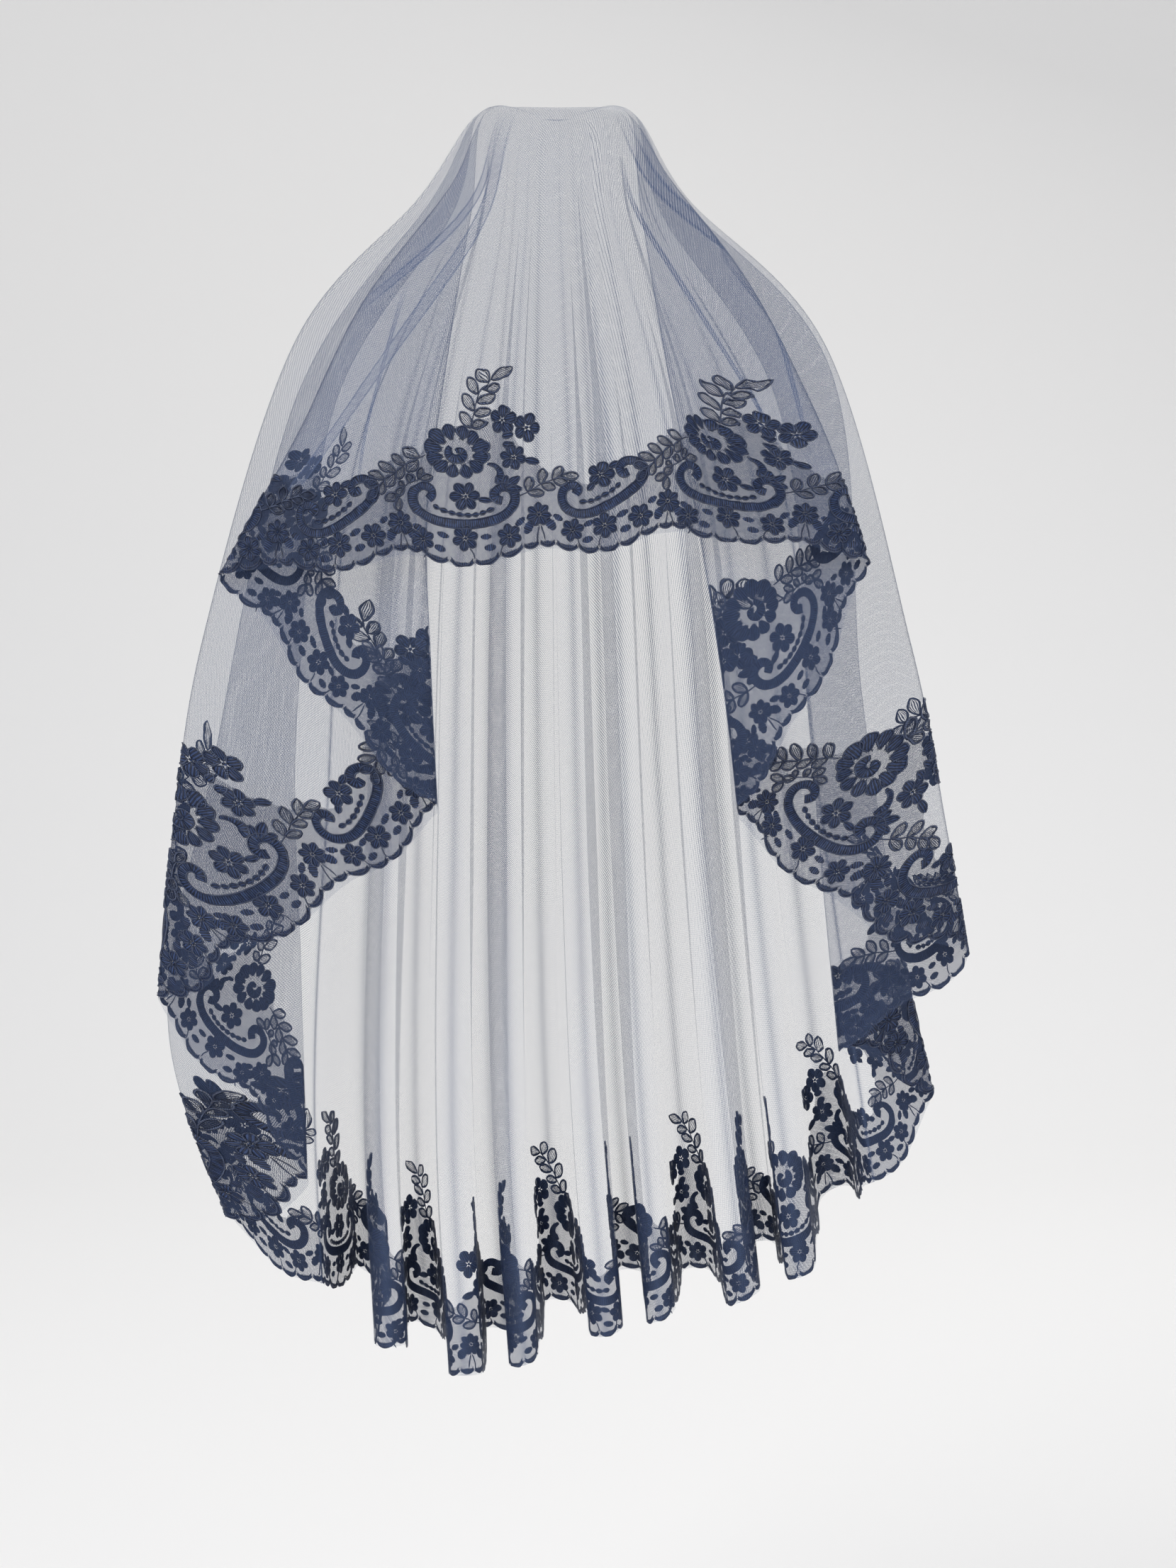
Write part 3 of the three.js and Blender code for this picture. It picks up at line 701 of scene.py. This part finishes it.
def add_scallops(fill, cords):
    """The small scallops: two cords along each arc and satin teeth inside it."""
    for left, right in zip(SCALLOP_ENDS[:-1], SCALLOP_ENDS[1:]):
        span = right - left
        depth = DEPTH_SHARE * span + DEPTH_MORE
        t = np.linspace(0, 1, 9)
        u = left + span * t
        arc = np.sin(math.pi * t) ** ARC_FULLNESS
        foot = edge_rise(u) + EDGE_FOOT
        outer = np.stack([u, foot - depth * arc], 1)
        inner_u = left + span * (0.5 + (t - 0.5) * 0.9)
        inner = np.stack([inner_u, foot + CORDS_APART - depth * arc * 1.02], 1)
        add_cord(cords, outer)
        add_cord(cords, inner)
        steps = max(8, round(span / 0.5))
        t = np.linspace(0.06, 0.94, steps)
        u = left + span * t
        arc = np.sin(math.pi * t) ** ARC_FULLNESS
        low = edge_rise(u) + EDGE_FOOT - depth * arc
        tooth = TOOTH + TOOTH_MORE * np.sin(math.pi * t) ** 2
        tooth += TOOTH_VARY * np.where(np.arange(steps) % 2, 1, -1)
        across = np.array([0, 0.35, 0.7, 1])
        place = np.empty((steps, 4, 3))
        place[..., 0] = u[:, None]
        place[..., 1] = low[:, None] + tooth[:, None] * across
        place[..., 2] = FILL_FOOT + 0.35 * np.sin(math.pi * np.clip(across, 0.05, 0.95))
        fill.grid(place, pairs((u - left)[:, None], tooth[:, None] * across))


FLOWER = (0.0, 78.0, 21.6, 17.2)  # middle, half width and half height of the large flower
FLOWER_PETALS = 12
PETAL_ROOT = 0.47  # where its petals start, in shares of its radius
PETAL_FILL = 0.9048  # their width, in shares of their part of its round
RAY = (0.43, 0.56)  # ends of the short threads between disc and petals, the same
COIL = (6.3, 5.4)  # half width and half height of its coiled disc
COIL_TURNS = (128, 480)
COIL_LOWER = 0.6  # the disc stands this far below the flower's middle
COIL_WIDTHS = (1.3, 2.6, 2.9, 2.8, 2.3, 1.2)


def add_big_flower(fill, cords):
    """The large flower: petals and short threads round a coiled disc."""
    cu, cw, wide, high = FLOWER
    centre = np.array([cu, cw])

    def ray(turn):
        angle = math.radians(turn)
        return np.array([math.cos(angle) * wide, math.sin(angle) * high])

    step = 360 / FLOWER_PETALS
    for k in range(FLOWER_PETALS):
        ahead = ray((k + 0.5) * step)
        swell = 1 + 0.05 * math.sin(5.1 * k)
        width = 2 * math.pi * np.linalg.norm(ahead) * PETAL_FILL / FLOWER_PETALS
        base, tip = centre + ahead * PETAL_ROOT, centre + ahead * swell
        add_petal(fill, cords, base, tip, width, belly=PETAL_BELLY)
    turns = np.radians(np.linspace(*COIL_TURNS, 15))
    reach = np.linspace(1, 0.28, 15)
    coil = np.stack([
        cu + np.cos(turns) * COIL[0] * reach, cw - COIL_LOWER + np.sin(turns) * COIL[1] * reach,
    ], 1)
    add_band(fill, cords, coil, COIL_WIDTHS, rib=1.1)
    for k in range(FLOWER_PETALS * 2):
        ends = [centre + ray((k + 0.5) * step / 2) * share for share in RAY]
        add_cord(cords, ends, radius=VEIN, step=2, height=0.5)


SPRIG = (  # base, tip, width of the open leaves above the flower
    ((11.6, 93.6), (2.6, 102.2), 6.4), ((13.7, 103.9), (5.3, 113.6), 6.7),
    ((17.1, 114.3), (9.6, 124.0), 6.8), ((22.0, 121.4), (17.4, 129.6), 6.4),
    ((24.4, 123.0), (39.8, 129.4), 5.7), ((10.4, 94.4), (20.4, 96.2), 5.2),
    ((13.4, 101.6), (22.8, 103.4), 5.0), ((16.4, 108.8), (27.2, 112.8), 5.2),
    ((20.5, 116.6), (31.2, 118.2), 5.3),
)
SPRIG_STEM = ((9.4, 92.5), (13.0, 101.5), (16.4, 111.0), (20.6, 118.5), (24.6, 123.4))
LEFT_BRANCH = (
    ((-26.0, 75.0), (-35.4, 80.6), 5.6), ((-35.0, 70.6), (-45.0, 76.6), 5.5),
    ((-43.4, 65.4), (-53.6, 71.8), 5.5), ((-50.2, 60.8), (-60.4, 65.6), 5.3),
    ((-55.4, 56.4), (-65.0, 58.8), 5.1), ((-56.8, 54.2), (-63.4, 46.6), 5.2),
    ((-27.4, 73.6), (-33.8, 65.6), 5.3), ((-36.2, 69.0), (-42.2, 60.8), 5.3),
    ((-44.2, 63.8), (-49.2, 55.2), 5.2), ((-51.0, 58.6), (-54.4, 50.0), 5.0),
)
LEFT_STEM = ((-20.8, 76.6), (-27.5, 74.2), (-36, 69.8), (-44.4, 64.4), (-51, 59.4), (-57, 54.6))
LOWER_BRANCH = (
    ((-27.0, 60.4), (-17.2, 61.6), 4.8), ((-28.6, 60.6), (-24.6, 68.0), 4.6),
    ((-33.0, 57.8), (-33.4, 64.0), 4.2), ((-37.6, 55.6), (-41.6, 58.6), 4.0),
    ((-37.4, 54.2), (-44.6, 50.0), 5.0), ((-43.0, 50.4), (-51.4, 46.4), 5.0),
    ((-42.0, 47.6), (-44.6, 39.2), 5.0),
)
LOWER_STEM = ((-25.5, 60.2), (-31, 58.8), (-37.5, 55), (-41.8, 49.5), (-46.5, 41))
RIGHT_BRANCH = (
    ((44.6, 47.4), (46.6, 57.4), 5.6), ((44.8, 46.8), (55.4, 44.6), 5.1),
    ((53.6, 51.4), (56.4, 62.0), 5.8), ((54.2, 51.0), (63.0, 47.6), 5.1),
    ((61.8, 53.8), (69.0, 62.2), 5.5), ((62.2, 53.4), (71.4, 50.4), 5.1),
    ((68.6, 55.8), (79.8, 54.4), 5.4),
)
RIGHT_STEM = ((36.5, 44.5), (44.4, 46.8), (53.8, 51.2), (62, 53.6), (69.5, 55.6))
SMALL_FLOWERS = (  # centre, radius, petals, turn of the first
    ((31.4, 97.0), 8.4, 5, 80), ((47.4, 90.6), 8.3, 5, 62), ((36.6, 72.6), 8.2, 6, 100),
    ((2.2, 48.0), 9.2, 6, 62),
    ((-29.4, 19.6), 7.2, 6, 82), ((-0.6, 19.2), 8.0, 6, 74), ((29.4, 18.4), 7.6, 6, 98),
    ((72.6, 17.6), 7.2, 6, 70), ((94.6, 18.4), 8.0, 6, 92), ((119.2, 22.6), 7.6, 6, 64),
    ((94.4, 53.6), 8.2, 5, 72),
    ((50.6, 30.6), 7.6, 7, 90), ((138.8, 31.0), 7.6, 7, 84),
)
SATIN_LEAVES = (  # base, tip, width: corded
    ((29.6, 51.8), (39.8, 58.6), 5.4), ((30.0, 50.6), (40.6, 49.6), 5.2),
    ((28.6, 52.6), (31.6, 60.4), 4.8), ((44.4, 70.2), (54.0, 66.4), 4.6),
    ((30.4, 86.8), (37.2, 87.6), 3.9), ((30.4, 82.0), (37.6, 80.6), 4.3),
    ((11.0, 45.4), (20.4, 43.6), 3.8), ((99.8, 58.4), (107.6, 61.2), 4.4),
    ((89.6, 48.4), (84.4, 43.6), 4.2), ((38.8, 95.2), (43.4, 91.4), 3.6),
)
DASHES = (  # ends and width of the patches with no cord
    ((-19.2, 23.6), (-11.2, 20.4), 2.6), ((-22.4, 14.8), (-14.4, 11.4), 3.0),
    ((9.6, 19.4), (17.8, 19.2), 2.6), ((11.4, 11.6), (20.0, 11.8), 3.0),
    ((34.4, 24.6), (41.0, 29.8), 2.8), ((60.2, 29.4), (66.6, 24.6), 2.6),
    ((80.4, 19.6), (87.2, 22.4), 2.6), ((78.6, 9.2), (86.4, 10.6), 3.0),
    ((102.6, 23.4), (111.4, 27.2), 2.8), ((104.6, 13.4), (112.6, 16.2), 3.2),
    ((124.6, 30.8), (130.6, 34.8), 2.6), ((147.4, 29.6), (153.4, 25.6), 2.6),
    ((45.6, 27.0), (40.6, 18.0), 4.0), ((55.8, 27.0), (60.6, 18.6), 4.0),
    ((133.8, 27.4), (129.4, 18.8), 4.0), ((143.8, 27.6), (148.2, 19.2), 4.0),
)
STEMS = (
    ((50.4, 23.4), (48.6, 16.6), (48.2, 12.2)), ((51.2, 23.4), (53.0, 16.6), (53.6, 12.2)),
    ((138.4, 24.0), (136.9, 17.0), (136.6, 12.4)), ((139.4, 24.0), (141.4, 17.4), (141.8, 12.4)),
    ((1.4, 12.4), (3.8, 8.4), (4.2, 4.2)), ((24.8, 13.4), (22.6, 8.4), (22.2, 5.6)),
    ((-26.4, 13.2), (-29.4, 8.6), (-31, 6.6)), ((75.6, 11.4), (76.4, 7.4), (76.2, 5.0)),
    ((91.6, 11.4), (90.2, 7.4), (90.0, 4.0)), ((120.4, 15.4), (119.2, 11.4), (118.6, 9.2)),
)
CRADLE = (
    (-22.4, 46.2), (-19.0, 49.6), (-20.4, 54.2), (-26.6, 55.4), (-32.2, 51.0), (-32.6, 43.4),
    (-27.4, 36.4), (-16.0, 31.2), (-3.0, 29.0), (10.0, 28.8), (22.0, 30.8), (31.4, 35.8),
    (35.6, 43.0), (34.0, 50.0), (28.0, 52.6), (22.6, 49.6), (22.8, 44.6), (27.0, 43.0),
)
SCROLL_WIDTHS = (
    2.9, 2.8, 2.5, 2.7, 2.8, 2.9, 3.0, 3.1, 3.1, 3.1, 3.1, 3.0, 2.9, 2.8, 2.8, 2.9, 2.7,
)
CRADLE_CHAIN = ((-19.4, 42.2), (-12.0, 38.2), (-2.0, 35.4), (8.0, 34.9), (17.0, 36.8), (23.0, 39.8))
SCROLL = (
    (76.2, 41.8), (78.6, 45.2), (75.2, 48.4), (69.4, 46.8), (67.0, 40.6), (69.2, 33.4),
    (75.8, 28.8), (84.6, 28.0), (94.6, 30.8), (105.0, 35.6), (114.6, 41.4), (121.8, 48.0),
    (124.2, 55.0), (120.0, 60.4), (112.6, 61.6), (107.4, 57.6), (109.4, 52.8), (113.8, 54.0),
)
SCROLL_CHAIN = ((78.4, 36.4), (86.0, 36.0), (94.4, 38.6), (102.6, 43.2), (108.0, 47.4))
COMMA = ((19.6, 69.6), (24.2, 67.4), (27.0, 62.6), (25.6, 58.0), (22.6, 58.4))


def lace_fit(edge):
    """How many repeats close round the edge, and how much they are stretched for that."""
    total = edge[0][-1] * 1000
    repeats = round(total / REPEAT / NARROW)
    return repeats, total / repeats / REPEAT


def placed_height(w):
    """Heights as drawn to heights on the cloth: the flowers sit lower and the sprigs are longer."""
    return np.interp(w, (0, 78, 130), (0, 73.5, 131.0))


FLOWER_LARGER = 1.1  # small flowers are this much larger than their table says
DASH_WIDER = 1.5  # and dashes this much wider


def draw_repeat():
    """One repeat of the lace: its satin and its cords."""
    fill, cords = Trimming(), Trimming()
    add_scallops(fill, cords)
    add_big_flower(fill, cords)
    for group, stem in (
        (SPRIG, SPRIG_STEM), (LEFT_BRANCH, LEFT_STEM),
        (LOWER_BRANCH, LOWER_STEM), (RIGHT_BRANCH, RIGHT_STEM),
    ):
        for base, tip, width in group:
            add_open_leaf(cords, base, tip, width)
        add_cord(cords, stem)
    for centre, radius, petals, turn in SMALL_FLOWERS:
        add_flower(fill, cords, centre, radius * FLOWER_LARGER, petals, turn)
    for base, tip, width in SATIN_LEAVES:
        add_petal(fill, cords, base, tip, width)
    for base, tip, width in DASHES:
        add_satin_leaf(fill, base, tip, width * DASH_WIDER, ragged=0.13)
    for stem in STEMS:
        add_cord(cords, stem)
    add_band(fill, cords, CRADLE, SCROLL_WIDTHS)
    add_chain(fill, cords, CRADLE_CHAIN)
    add_band(fill, cords, SCROLL, SCROLL_WIDTHS)
    add_chain(fill, cords, SCROLL_CHAIN)
    add_band(fill, cords, COMMA, (0.8, 1.4, 2.0, 2.8, 2.2), rib=1.2)
    return fill, cords


GROUND_TOP = np.array([  # upper edge of the lace's own net, u and w in mm
    (-68, 59), (-60, 64), (-52, 69), (-44, 74.5), (-35, 78.5), (-27, 76), (-22, 80), (-17, 88),
    (-8, 93), (0, 94), (8, 94.5), (14, 96), (20, 99), (26, 99), (31, 93), (36, 88), (41, 80),
    (46, 72), (53, 66), (57, 61), (63, 57), (69, 61), (75, 56), (79, 52), (82, 48), (86, 48),
    (90, 56), (97, 60), (104, 59), (110, 62), (114, 62),
])
START = -55.0  # where the first large flower's middle is, from the front's middle, mm
PIECES = 3  # satin and cords are each made in this many
NET_STEPS = 84  # samples of that net along one repeat
NET_ROWS = 25
NET_PAST = 2.2  # the net runs on this far into the small scallops, mm
NET_LIFT = 0.25  # and lies this high over the tulle, mm


def place_repeat(sheet, edge, points, shift):
    """Points of one repeat on the sheet; u runs to the right as seen from outside."""
    _, stretch = lace_fit(edge)
    u = -(START + (points[:, 0] + shift * REPEAT) * stretch) / 1000
    return on_edge(sheet, edge, u, placed_height(points[:, 1]) / 1000, points[:, 2] / 1000)


def lace_net(sheet, edge, material):
    """The lace's own net, in one piece round the whole edge."""
    repeats, _ = lace_fit(edge)
    u = np.tile(np.arange(NET_STEPS) / NET_STEPS * REPEAT + GROUND_TOP[0, 0], repeats)
    shift = np.repeat(np.arange(repeats), NET_STEPS)
    low = edge_rise(u) + EDGE_FOOT - NET_PAST
    top = np.interp(u, GROUND_TOP[:, 0], GROUND_TOP[:, 1])
    w = low[:, None] + (top - low)[:, None] * np.linspace(0, 1, NET_ROWS)
    flat = np.stack([np.repeat(u[:, None], NET_ROWS, 1), w, np.full(w.shape, NET_LIFT)], -1)
    points = place_repeat(sheet, edge, flat.reshape(-1, 3), np.repeat(shift, NET_ROWS))
    i = np.arange(len(u))
    k = np.arange(NET_ROWS - 1)
    quads = grid_quads(i, (i + 1) % len(u), k, k + 1, NET_ROWS)[:, [0, 3, 2, 1]]
    uvs = np.stack([(u + shift * REPEAT)[:, None] + 0 * w, w], -1).reshape(-1, 2) / 1000
    return mesh_object("lace_net", points, quads, material, uvs)


def lace(sheet, edge, materials):
    """The border: its net and its repeats of satin and cord."""
    repeats, _ = lace_fit(edge)
    made = [lace_net(sheet, edge, materials["net"])]
    for name, trim in zip(("satin", "cord"), draw_repeat()):
        flat, faces, uv = np.vstack(trim.points), np.vstack(trim.faces), np.vstack(trim.uvs)
        for piece in range(PIECES):
            mine = range(piece * repeats // PIECES, (piece + 1) * repeats // PIECES)
            points = np.vstack([place_repeat(sheet, edge, flat, shift) for shift in mine])
            quads = np.vstack([faces + len(flat) * k for k in range(len(mine))])
            uvs = np.vstack([uv + (3.7 * shift, 0) for shift in mine])
            made.append(mesh_object(
                f"lace_{name}_{piece + 1}", points, quads, materials[name], uvs,
            ))
    return made


class Nodes:
    """Short calls for building a material's nodes."""

    def __init__(self, name):
        self.material = bpy.data.materials.new(name)
        self.material.use_nodes = True
        self.tree = self.material.node_tree
        self.shader = self.tree.nodes["Principled BSDF"]

    def link(self, source, socket):
        self.tree.links.new(source, socket)

    def new(self, kind, **values):
        node = self.tree.nodes.new(kind)
        for key, value in values.items():
            setattr(node, key, value)
        return node

    def math(self, operation, *inputs):
        node = self.new("ShaderNodeMath", operation=operation)
        for socket, value in zip(node.inputs, inputs):
            if isinstance(value, (int, float)):
                socket.default_value = value
            else:
                self.link(value, socket)
        return node.outputs[0]

    def uv(self):
        """The flat coordinates, as two outputs."""
        node = self.new("ShaderNodeUVMap", uv_map="flat")
        split = self.new("ShaderNodeSeparateXYZ")
        self.link(node.outputs[0], split.inputs[0])
        return node.outputs[0], split.outputs[0], split.outputs[1]

    def noise(self, vector, scale, detail=2.0):
        node = self.new("ShaderNodeTexNoise")
        node.inputs["Scale"].default_value = scale
        node.inputs["Detail"].default_value = detail
        self.link(vector, node.inputs["Vector"])
        return node.outputs["Fac"]

    def ramp(self, factor, *stops):
        node = self.new("ShaderNodeValToRGB")
        while len(node.color_ramp.elements) < len(stops):
            node.color_ramp.elements.new(0.5)
        for element, (place, color) in zip(node.color_ramp.elements, stops):
            element.position = place
            element.color = (*color, 1)
        self.link(factor, node.inputs[0])
        return node.outputs[0]

    def bump(self, height, strength, distance):
        node = self.new("ShaderNodeBump")
        node.inputs["Strength"].default_value = strength
        node.inputs["Distance"].default_value = distance
        self.link(height, node.inputs["Height"])
        self.link(node.outputs[0], self.shader.inputs["Normal"])

    def put(self, **values):
        for key, value in values.items():
            self.shader.inputs[key.replace("_", " ")].default_value = value


TUCKS = (  # flat angle at the crown, its drift per metre, half width in mm, start and end in m
    (0.29, 0.62, 3.0, 0.05, 0.37), (0.60, -0.68, 0.7, 0.18, 0.34),
    (0.30, 1.15, 1.8, 0.05, 0.22), (-0.35, -0.30, 0.7, 0.08, 0.33),
    (-0.62, 0.42, 0.7, 0.16, 0.33), (-0.40, -0.75, 1.8, 0.05, 0.20),
)
TUCK_RIM = 0.45  # half width of a tuck's two rims, mm
TUCK_FADE = 25.0  # how fast a tuck fades in and out, per metre
NET_TURN = math.radians(24)
NET_SQUASH = 0.8  # the meshes are longer one way, as in a diamond net


def tuck_lines(n, across, along, extra):
    """How much the creases pressed into the tulle thicken the net, over what the folds do."""
    turn = n.math("ARCTAN2", across, along)
    square = n.math("MULTIPLY_ADD", across, across, n.math("MULTIPLY", along, along))
    reach = n.math("SQRT", square)
    for angle, drift, half, start, end in TUCKS:
        line = n.math("SUBTRACT", turn, n.math("MULTIPLY_ADD", reach, drift, angle))
        line = n.math("MULTIPLY", n.math("MULTIPLY", line, reach), 1000 / half)
        away = n.math("ABSOLUTE", line)
        inside = n.math("LESS_THAN", away, 1.0)
        past = n.math("ABSOLUTE", n.math("SUBTRACT", away, 1.0))
        rim = n.math("LESS_THAN", past, TUCK_RIM / half)
        off = n.math("ABSOLUTE", n.math("SUBTRACT", reach, (start + end) / 2))
        fade = n.math("MAXIMUM", n.math("SUBTRACT", (end - start) / 2, off), 0.0)
        fade = n.math("MINIMUM", n.math("MULTIPLY", fade, TUCK_FADE), 1.0)
        depth = n.math("MULTIPLY_ADD", rim, 0.7, n.math("MULTIPLY", inside, 0.4))
        extra = n.math("MAXIMUM", extra, n.math("MULTIPLY", depth, fade))
    return extra


def net_material(name, thread, cell, dark, light, tucked=False):
    """Fine net: two families of threads with open meshes; cell in mm, thread as a share of it."""
    n = Nodes(name)
    vector, across, along = n.uv()
    waver = n.math("MULTIPLY", n.math("SUBTRACT", n.noise(vector, 700, 1.0), 0.5), 0.45)
    sway = n.math("MULTIPLY_ADD", n.noise(vector, 7, 1.0), 5.0, waver)
    cos, sin = math.cos(NET_TURN) * 1000 / cell, math.sin(NET_TURN) * 1000 / cell
    x = n.math("SUBTRACT", n.math("MULTIPLY", across, cos), n.math("MULTIPLY", along, sin))
    y = n.math("ADD", n.math("MULTIPLY", across, sin), n.math("MULTIPLY", along, cos))
    y = n.math("MULTIPLY", y, NET_SQUASH)
    extra = n.new("ShaderNodeAttribute", attribute_name="crease").outputs["Fac"]
    if tucked:
        extra = tuck_lines(n, across, along, extra)
    width = n.math("MULTIPLY_ADD", extra, 0.16, thread / 2)
    lines = []
    for mix in ("ADD", "SUBTRACT"):
        place = n.math("ADD", n.math(mix, x, y), sway)
        away = n.math("ABSOLUTE", n.math("SUBTRACT", n.math("FRACT", place), 0.5))
        lines.append(n.math("LESS_THAN", away, width))
    n.link(n.math("MAXIMUM", *lines), n.shader.inputs["Alpha"])
    n.link(
        n.ramp(n.noise(vector, 14, 3.0), (0.3, dark), (0.7, light)),
        n.shader.inputs["Base Color"],
    )
    n.put(Roughness=0.55, Specular_IOR_Level=0.3)
    return n.material


def satin_material():
    """Satin stitch: close parallel threads with a soft gloss, and painted highlights on the crests
    of its ribs.
    """
    n = Nodes("satin")
    vector, across, _ = n.uv()
    wobble = n.math("MULTIPLY", n.noise(vector, 0.9, 2.0), 5.0)
    stitch = n.math("SINE", n.math("MULTIPLY_ADD", across, 11.0, wobble))
    drift = n.math("MULTIPLY", wobble, 0.4)
    rib = n.math("SINE", n.math("MULTIPLY_ADD", across, 4.2, drift))
    # stitch and rib lines for the colour: the stitches vary the thread's tone, the rib crests are
    # lighter as painted highlights
    stitch_tone_and_rib_highlight = n.math("MULTIPLY_ADD", rib, 0.26, n.math("MULTIPLY", stitch, 0.1))
    # dark to light navy over these lines and random tone; the light stop is a painted highlight on
    # the ribs
    n.link(
        n.ramp(
            n.math("ADD", stitch_tone_and_rib_highlight, n.noise(vector, 0.35, 2.0)),
            (0.2, (0.003, 0.006, 0.017)), (0.5, (0.011, 0.020, 0.056)),
            (0.8, (0.036, 0.063, 0.155)),
        ),
        n.shader.inputs["Base Color"],
    )
    n.bump(n.math("MULTIPLY_ADD", stitch, 0.5, rib), 0.8, 0.0003)
    n.put(Roughness=0.4, Specular_IOR_Level=0.4)
    return n.material


def cord_material():
    """Twisted outline cord, a little lighter than the satin, with painted highlights along its
    twist.
    """
    n = Nodes("cord")
    vector, along, around = n.uv()
    twist = n.math("SINE", n.math("MULTIPLY_ADD", along, 7.0, around))
    # dark to light navy along the twist and random tone; the light stop is a painted highlight on
    # the cord
    n.link(
        n.ramp(
            n.math("MULTIPLY_ADD", twist, 0.22, n.noise(vector, 0.22, 2.0)),
            (0.25, (0.007, 0.012, 0.033)), (0.52, (0.018, 0.028, 0.068)),
            (0.80, (0.095, 0.125, 0.210)),
        ),
        n.shader.inputs["Base Color"],
    )
    n.bump(twist, 0.5, 0.0002)
    n.put(Roughness=0.36, Specular_IOR_Level=0.5)
    return n.material


def stage():
    """Pale floor and backdrop in one swept sheet."""
    mat = bpy.data.materials.new("stage")
    mat.use_nodes = True
    shader = mat.node_tree.nodes["Principled BSDF"]
    shader.inputs["Base Color"].default_value = (0.88, 0.865, 0.84, 1)
    shader.inputs["Roughness"].default_value = 0.9
    floor, wall, bend = -1.30, 4.5, 1.6
    profile = [(-12.0, floor), (wall - bend, floor)]
    for k in range(1, 12):
        a = math.pi / 2 * k / 12
        profile.append((wall - bend + bend * math.sin(a), floor + bend * (1 - math.cos(a))))
    profile += [(wall, floor + bend), (wall, 6.0)]
    vertices = [(x, y, z) for x in (-14.0, 14.0) for y, z in profile]
    count = len(profile)
    faces = [(i, i + 1, count + i + 1, count + i) for i in range(count - 1)]
    mesh = bpy.data.meshes.new("backdrop")
    mesh.from_pydata(vertices, [], faces)
    mesh.materials.append(mat)
    mesh.polygons.foreach_set("use_smooth", [True] * len(faces))
    new_object("backdrop", mesh)


LIGHTS_AIM = Vector((0, 0, -0.4))


def area_light(name, place, size, power):
    """A square soft light, turned towards the veil."""
    data = bpy.data.lights.new(name, "AREA")
    data.size = size
    data.energy = power
    obj = new_object(name, data)
    obj.location = place
    heading = LIGHTS_AIM - Vector(place)
    obj.rotation_euler = heading.to_track_quat("-Z", "Y").to_euler()


def lights():
    """Soft studio light: one large key, a fill, one behind and an even sky."""
    area_light("key", (-1.8, -2.4, 1.5), 1.6, 75)
    area_light("fill", (2.2, -1.8, 0.4), 1.8, 28)
    area_light("back", (0.8, 3.0, 2.3), 1.8, 60)
    world = bpy.data.worlds.new("studio")
    world.use_nodes = True
    sky = world.node_tree.nodes["Background"]
    sky.inputs["Color"].default_value = (0.9, 0.93, 1, 1)
    sky.inputs["Strength"].default_value = 0.55
    scene.world = world
    scene.view_settings.view_transform = "Standard"
    scene.cycles.transparent_max_bounces = 40


camera()
stage()
lights()
sheet = Sheet()
edge = sheet.edge_tables()
net = net_material("tulle", 0.105, 1.0, (0.055, 0.084, 0.170), (0.068, 0.100, 0.190), tucked=True)
veil = tulle(sheet, edge, net)
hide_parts("tulle_veil")
materials = {
    "net": net_material("lace_net", 0.25, 0.9, (0.014, 0.024, 0.060), (0.022, 0.036, 0.085)),
    "satin": satin_material(),
    "cord": cord_material(),
}
border = lace(sheet, edge, materials)
for piece in border:
    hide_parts("lace_border")
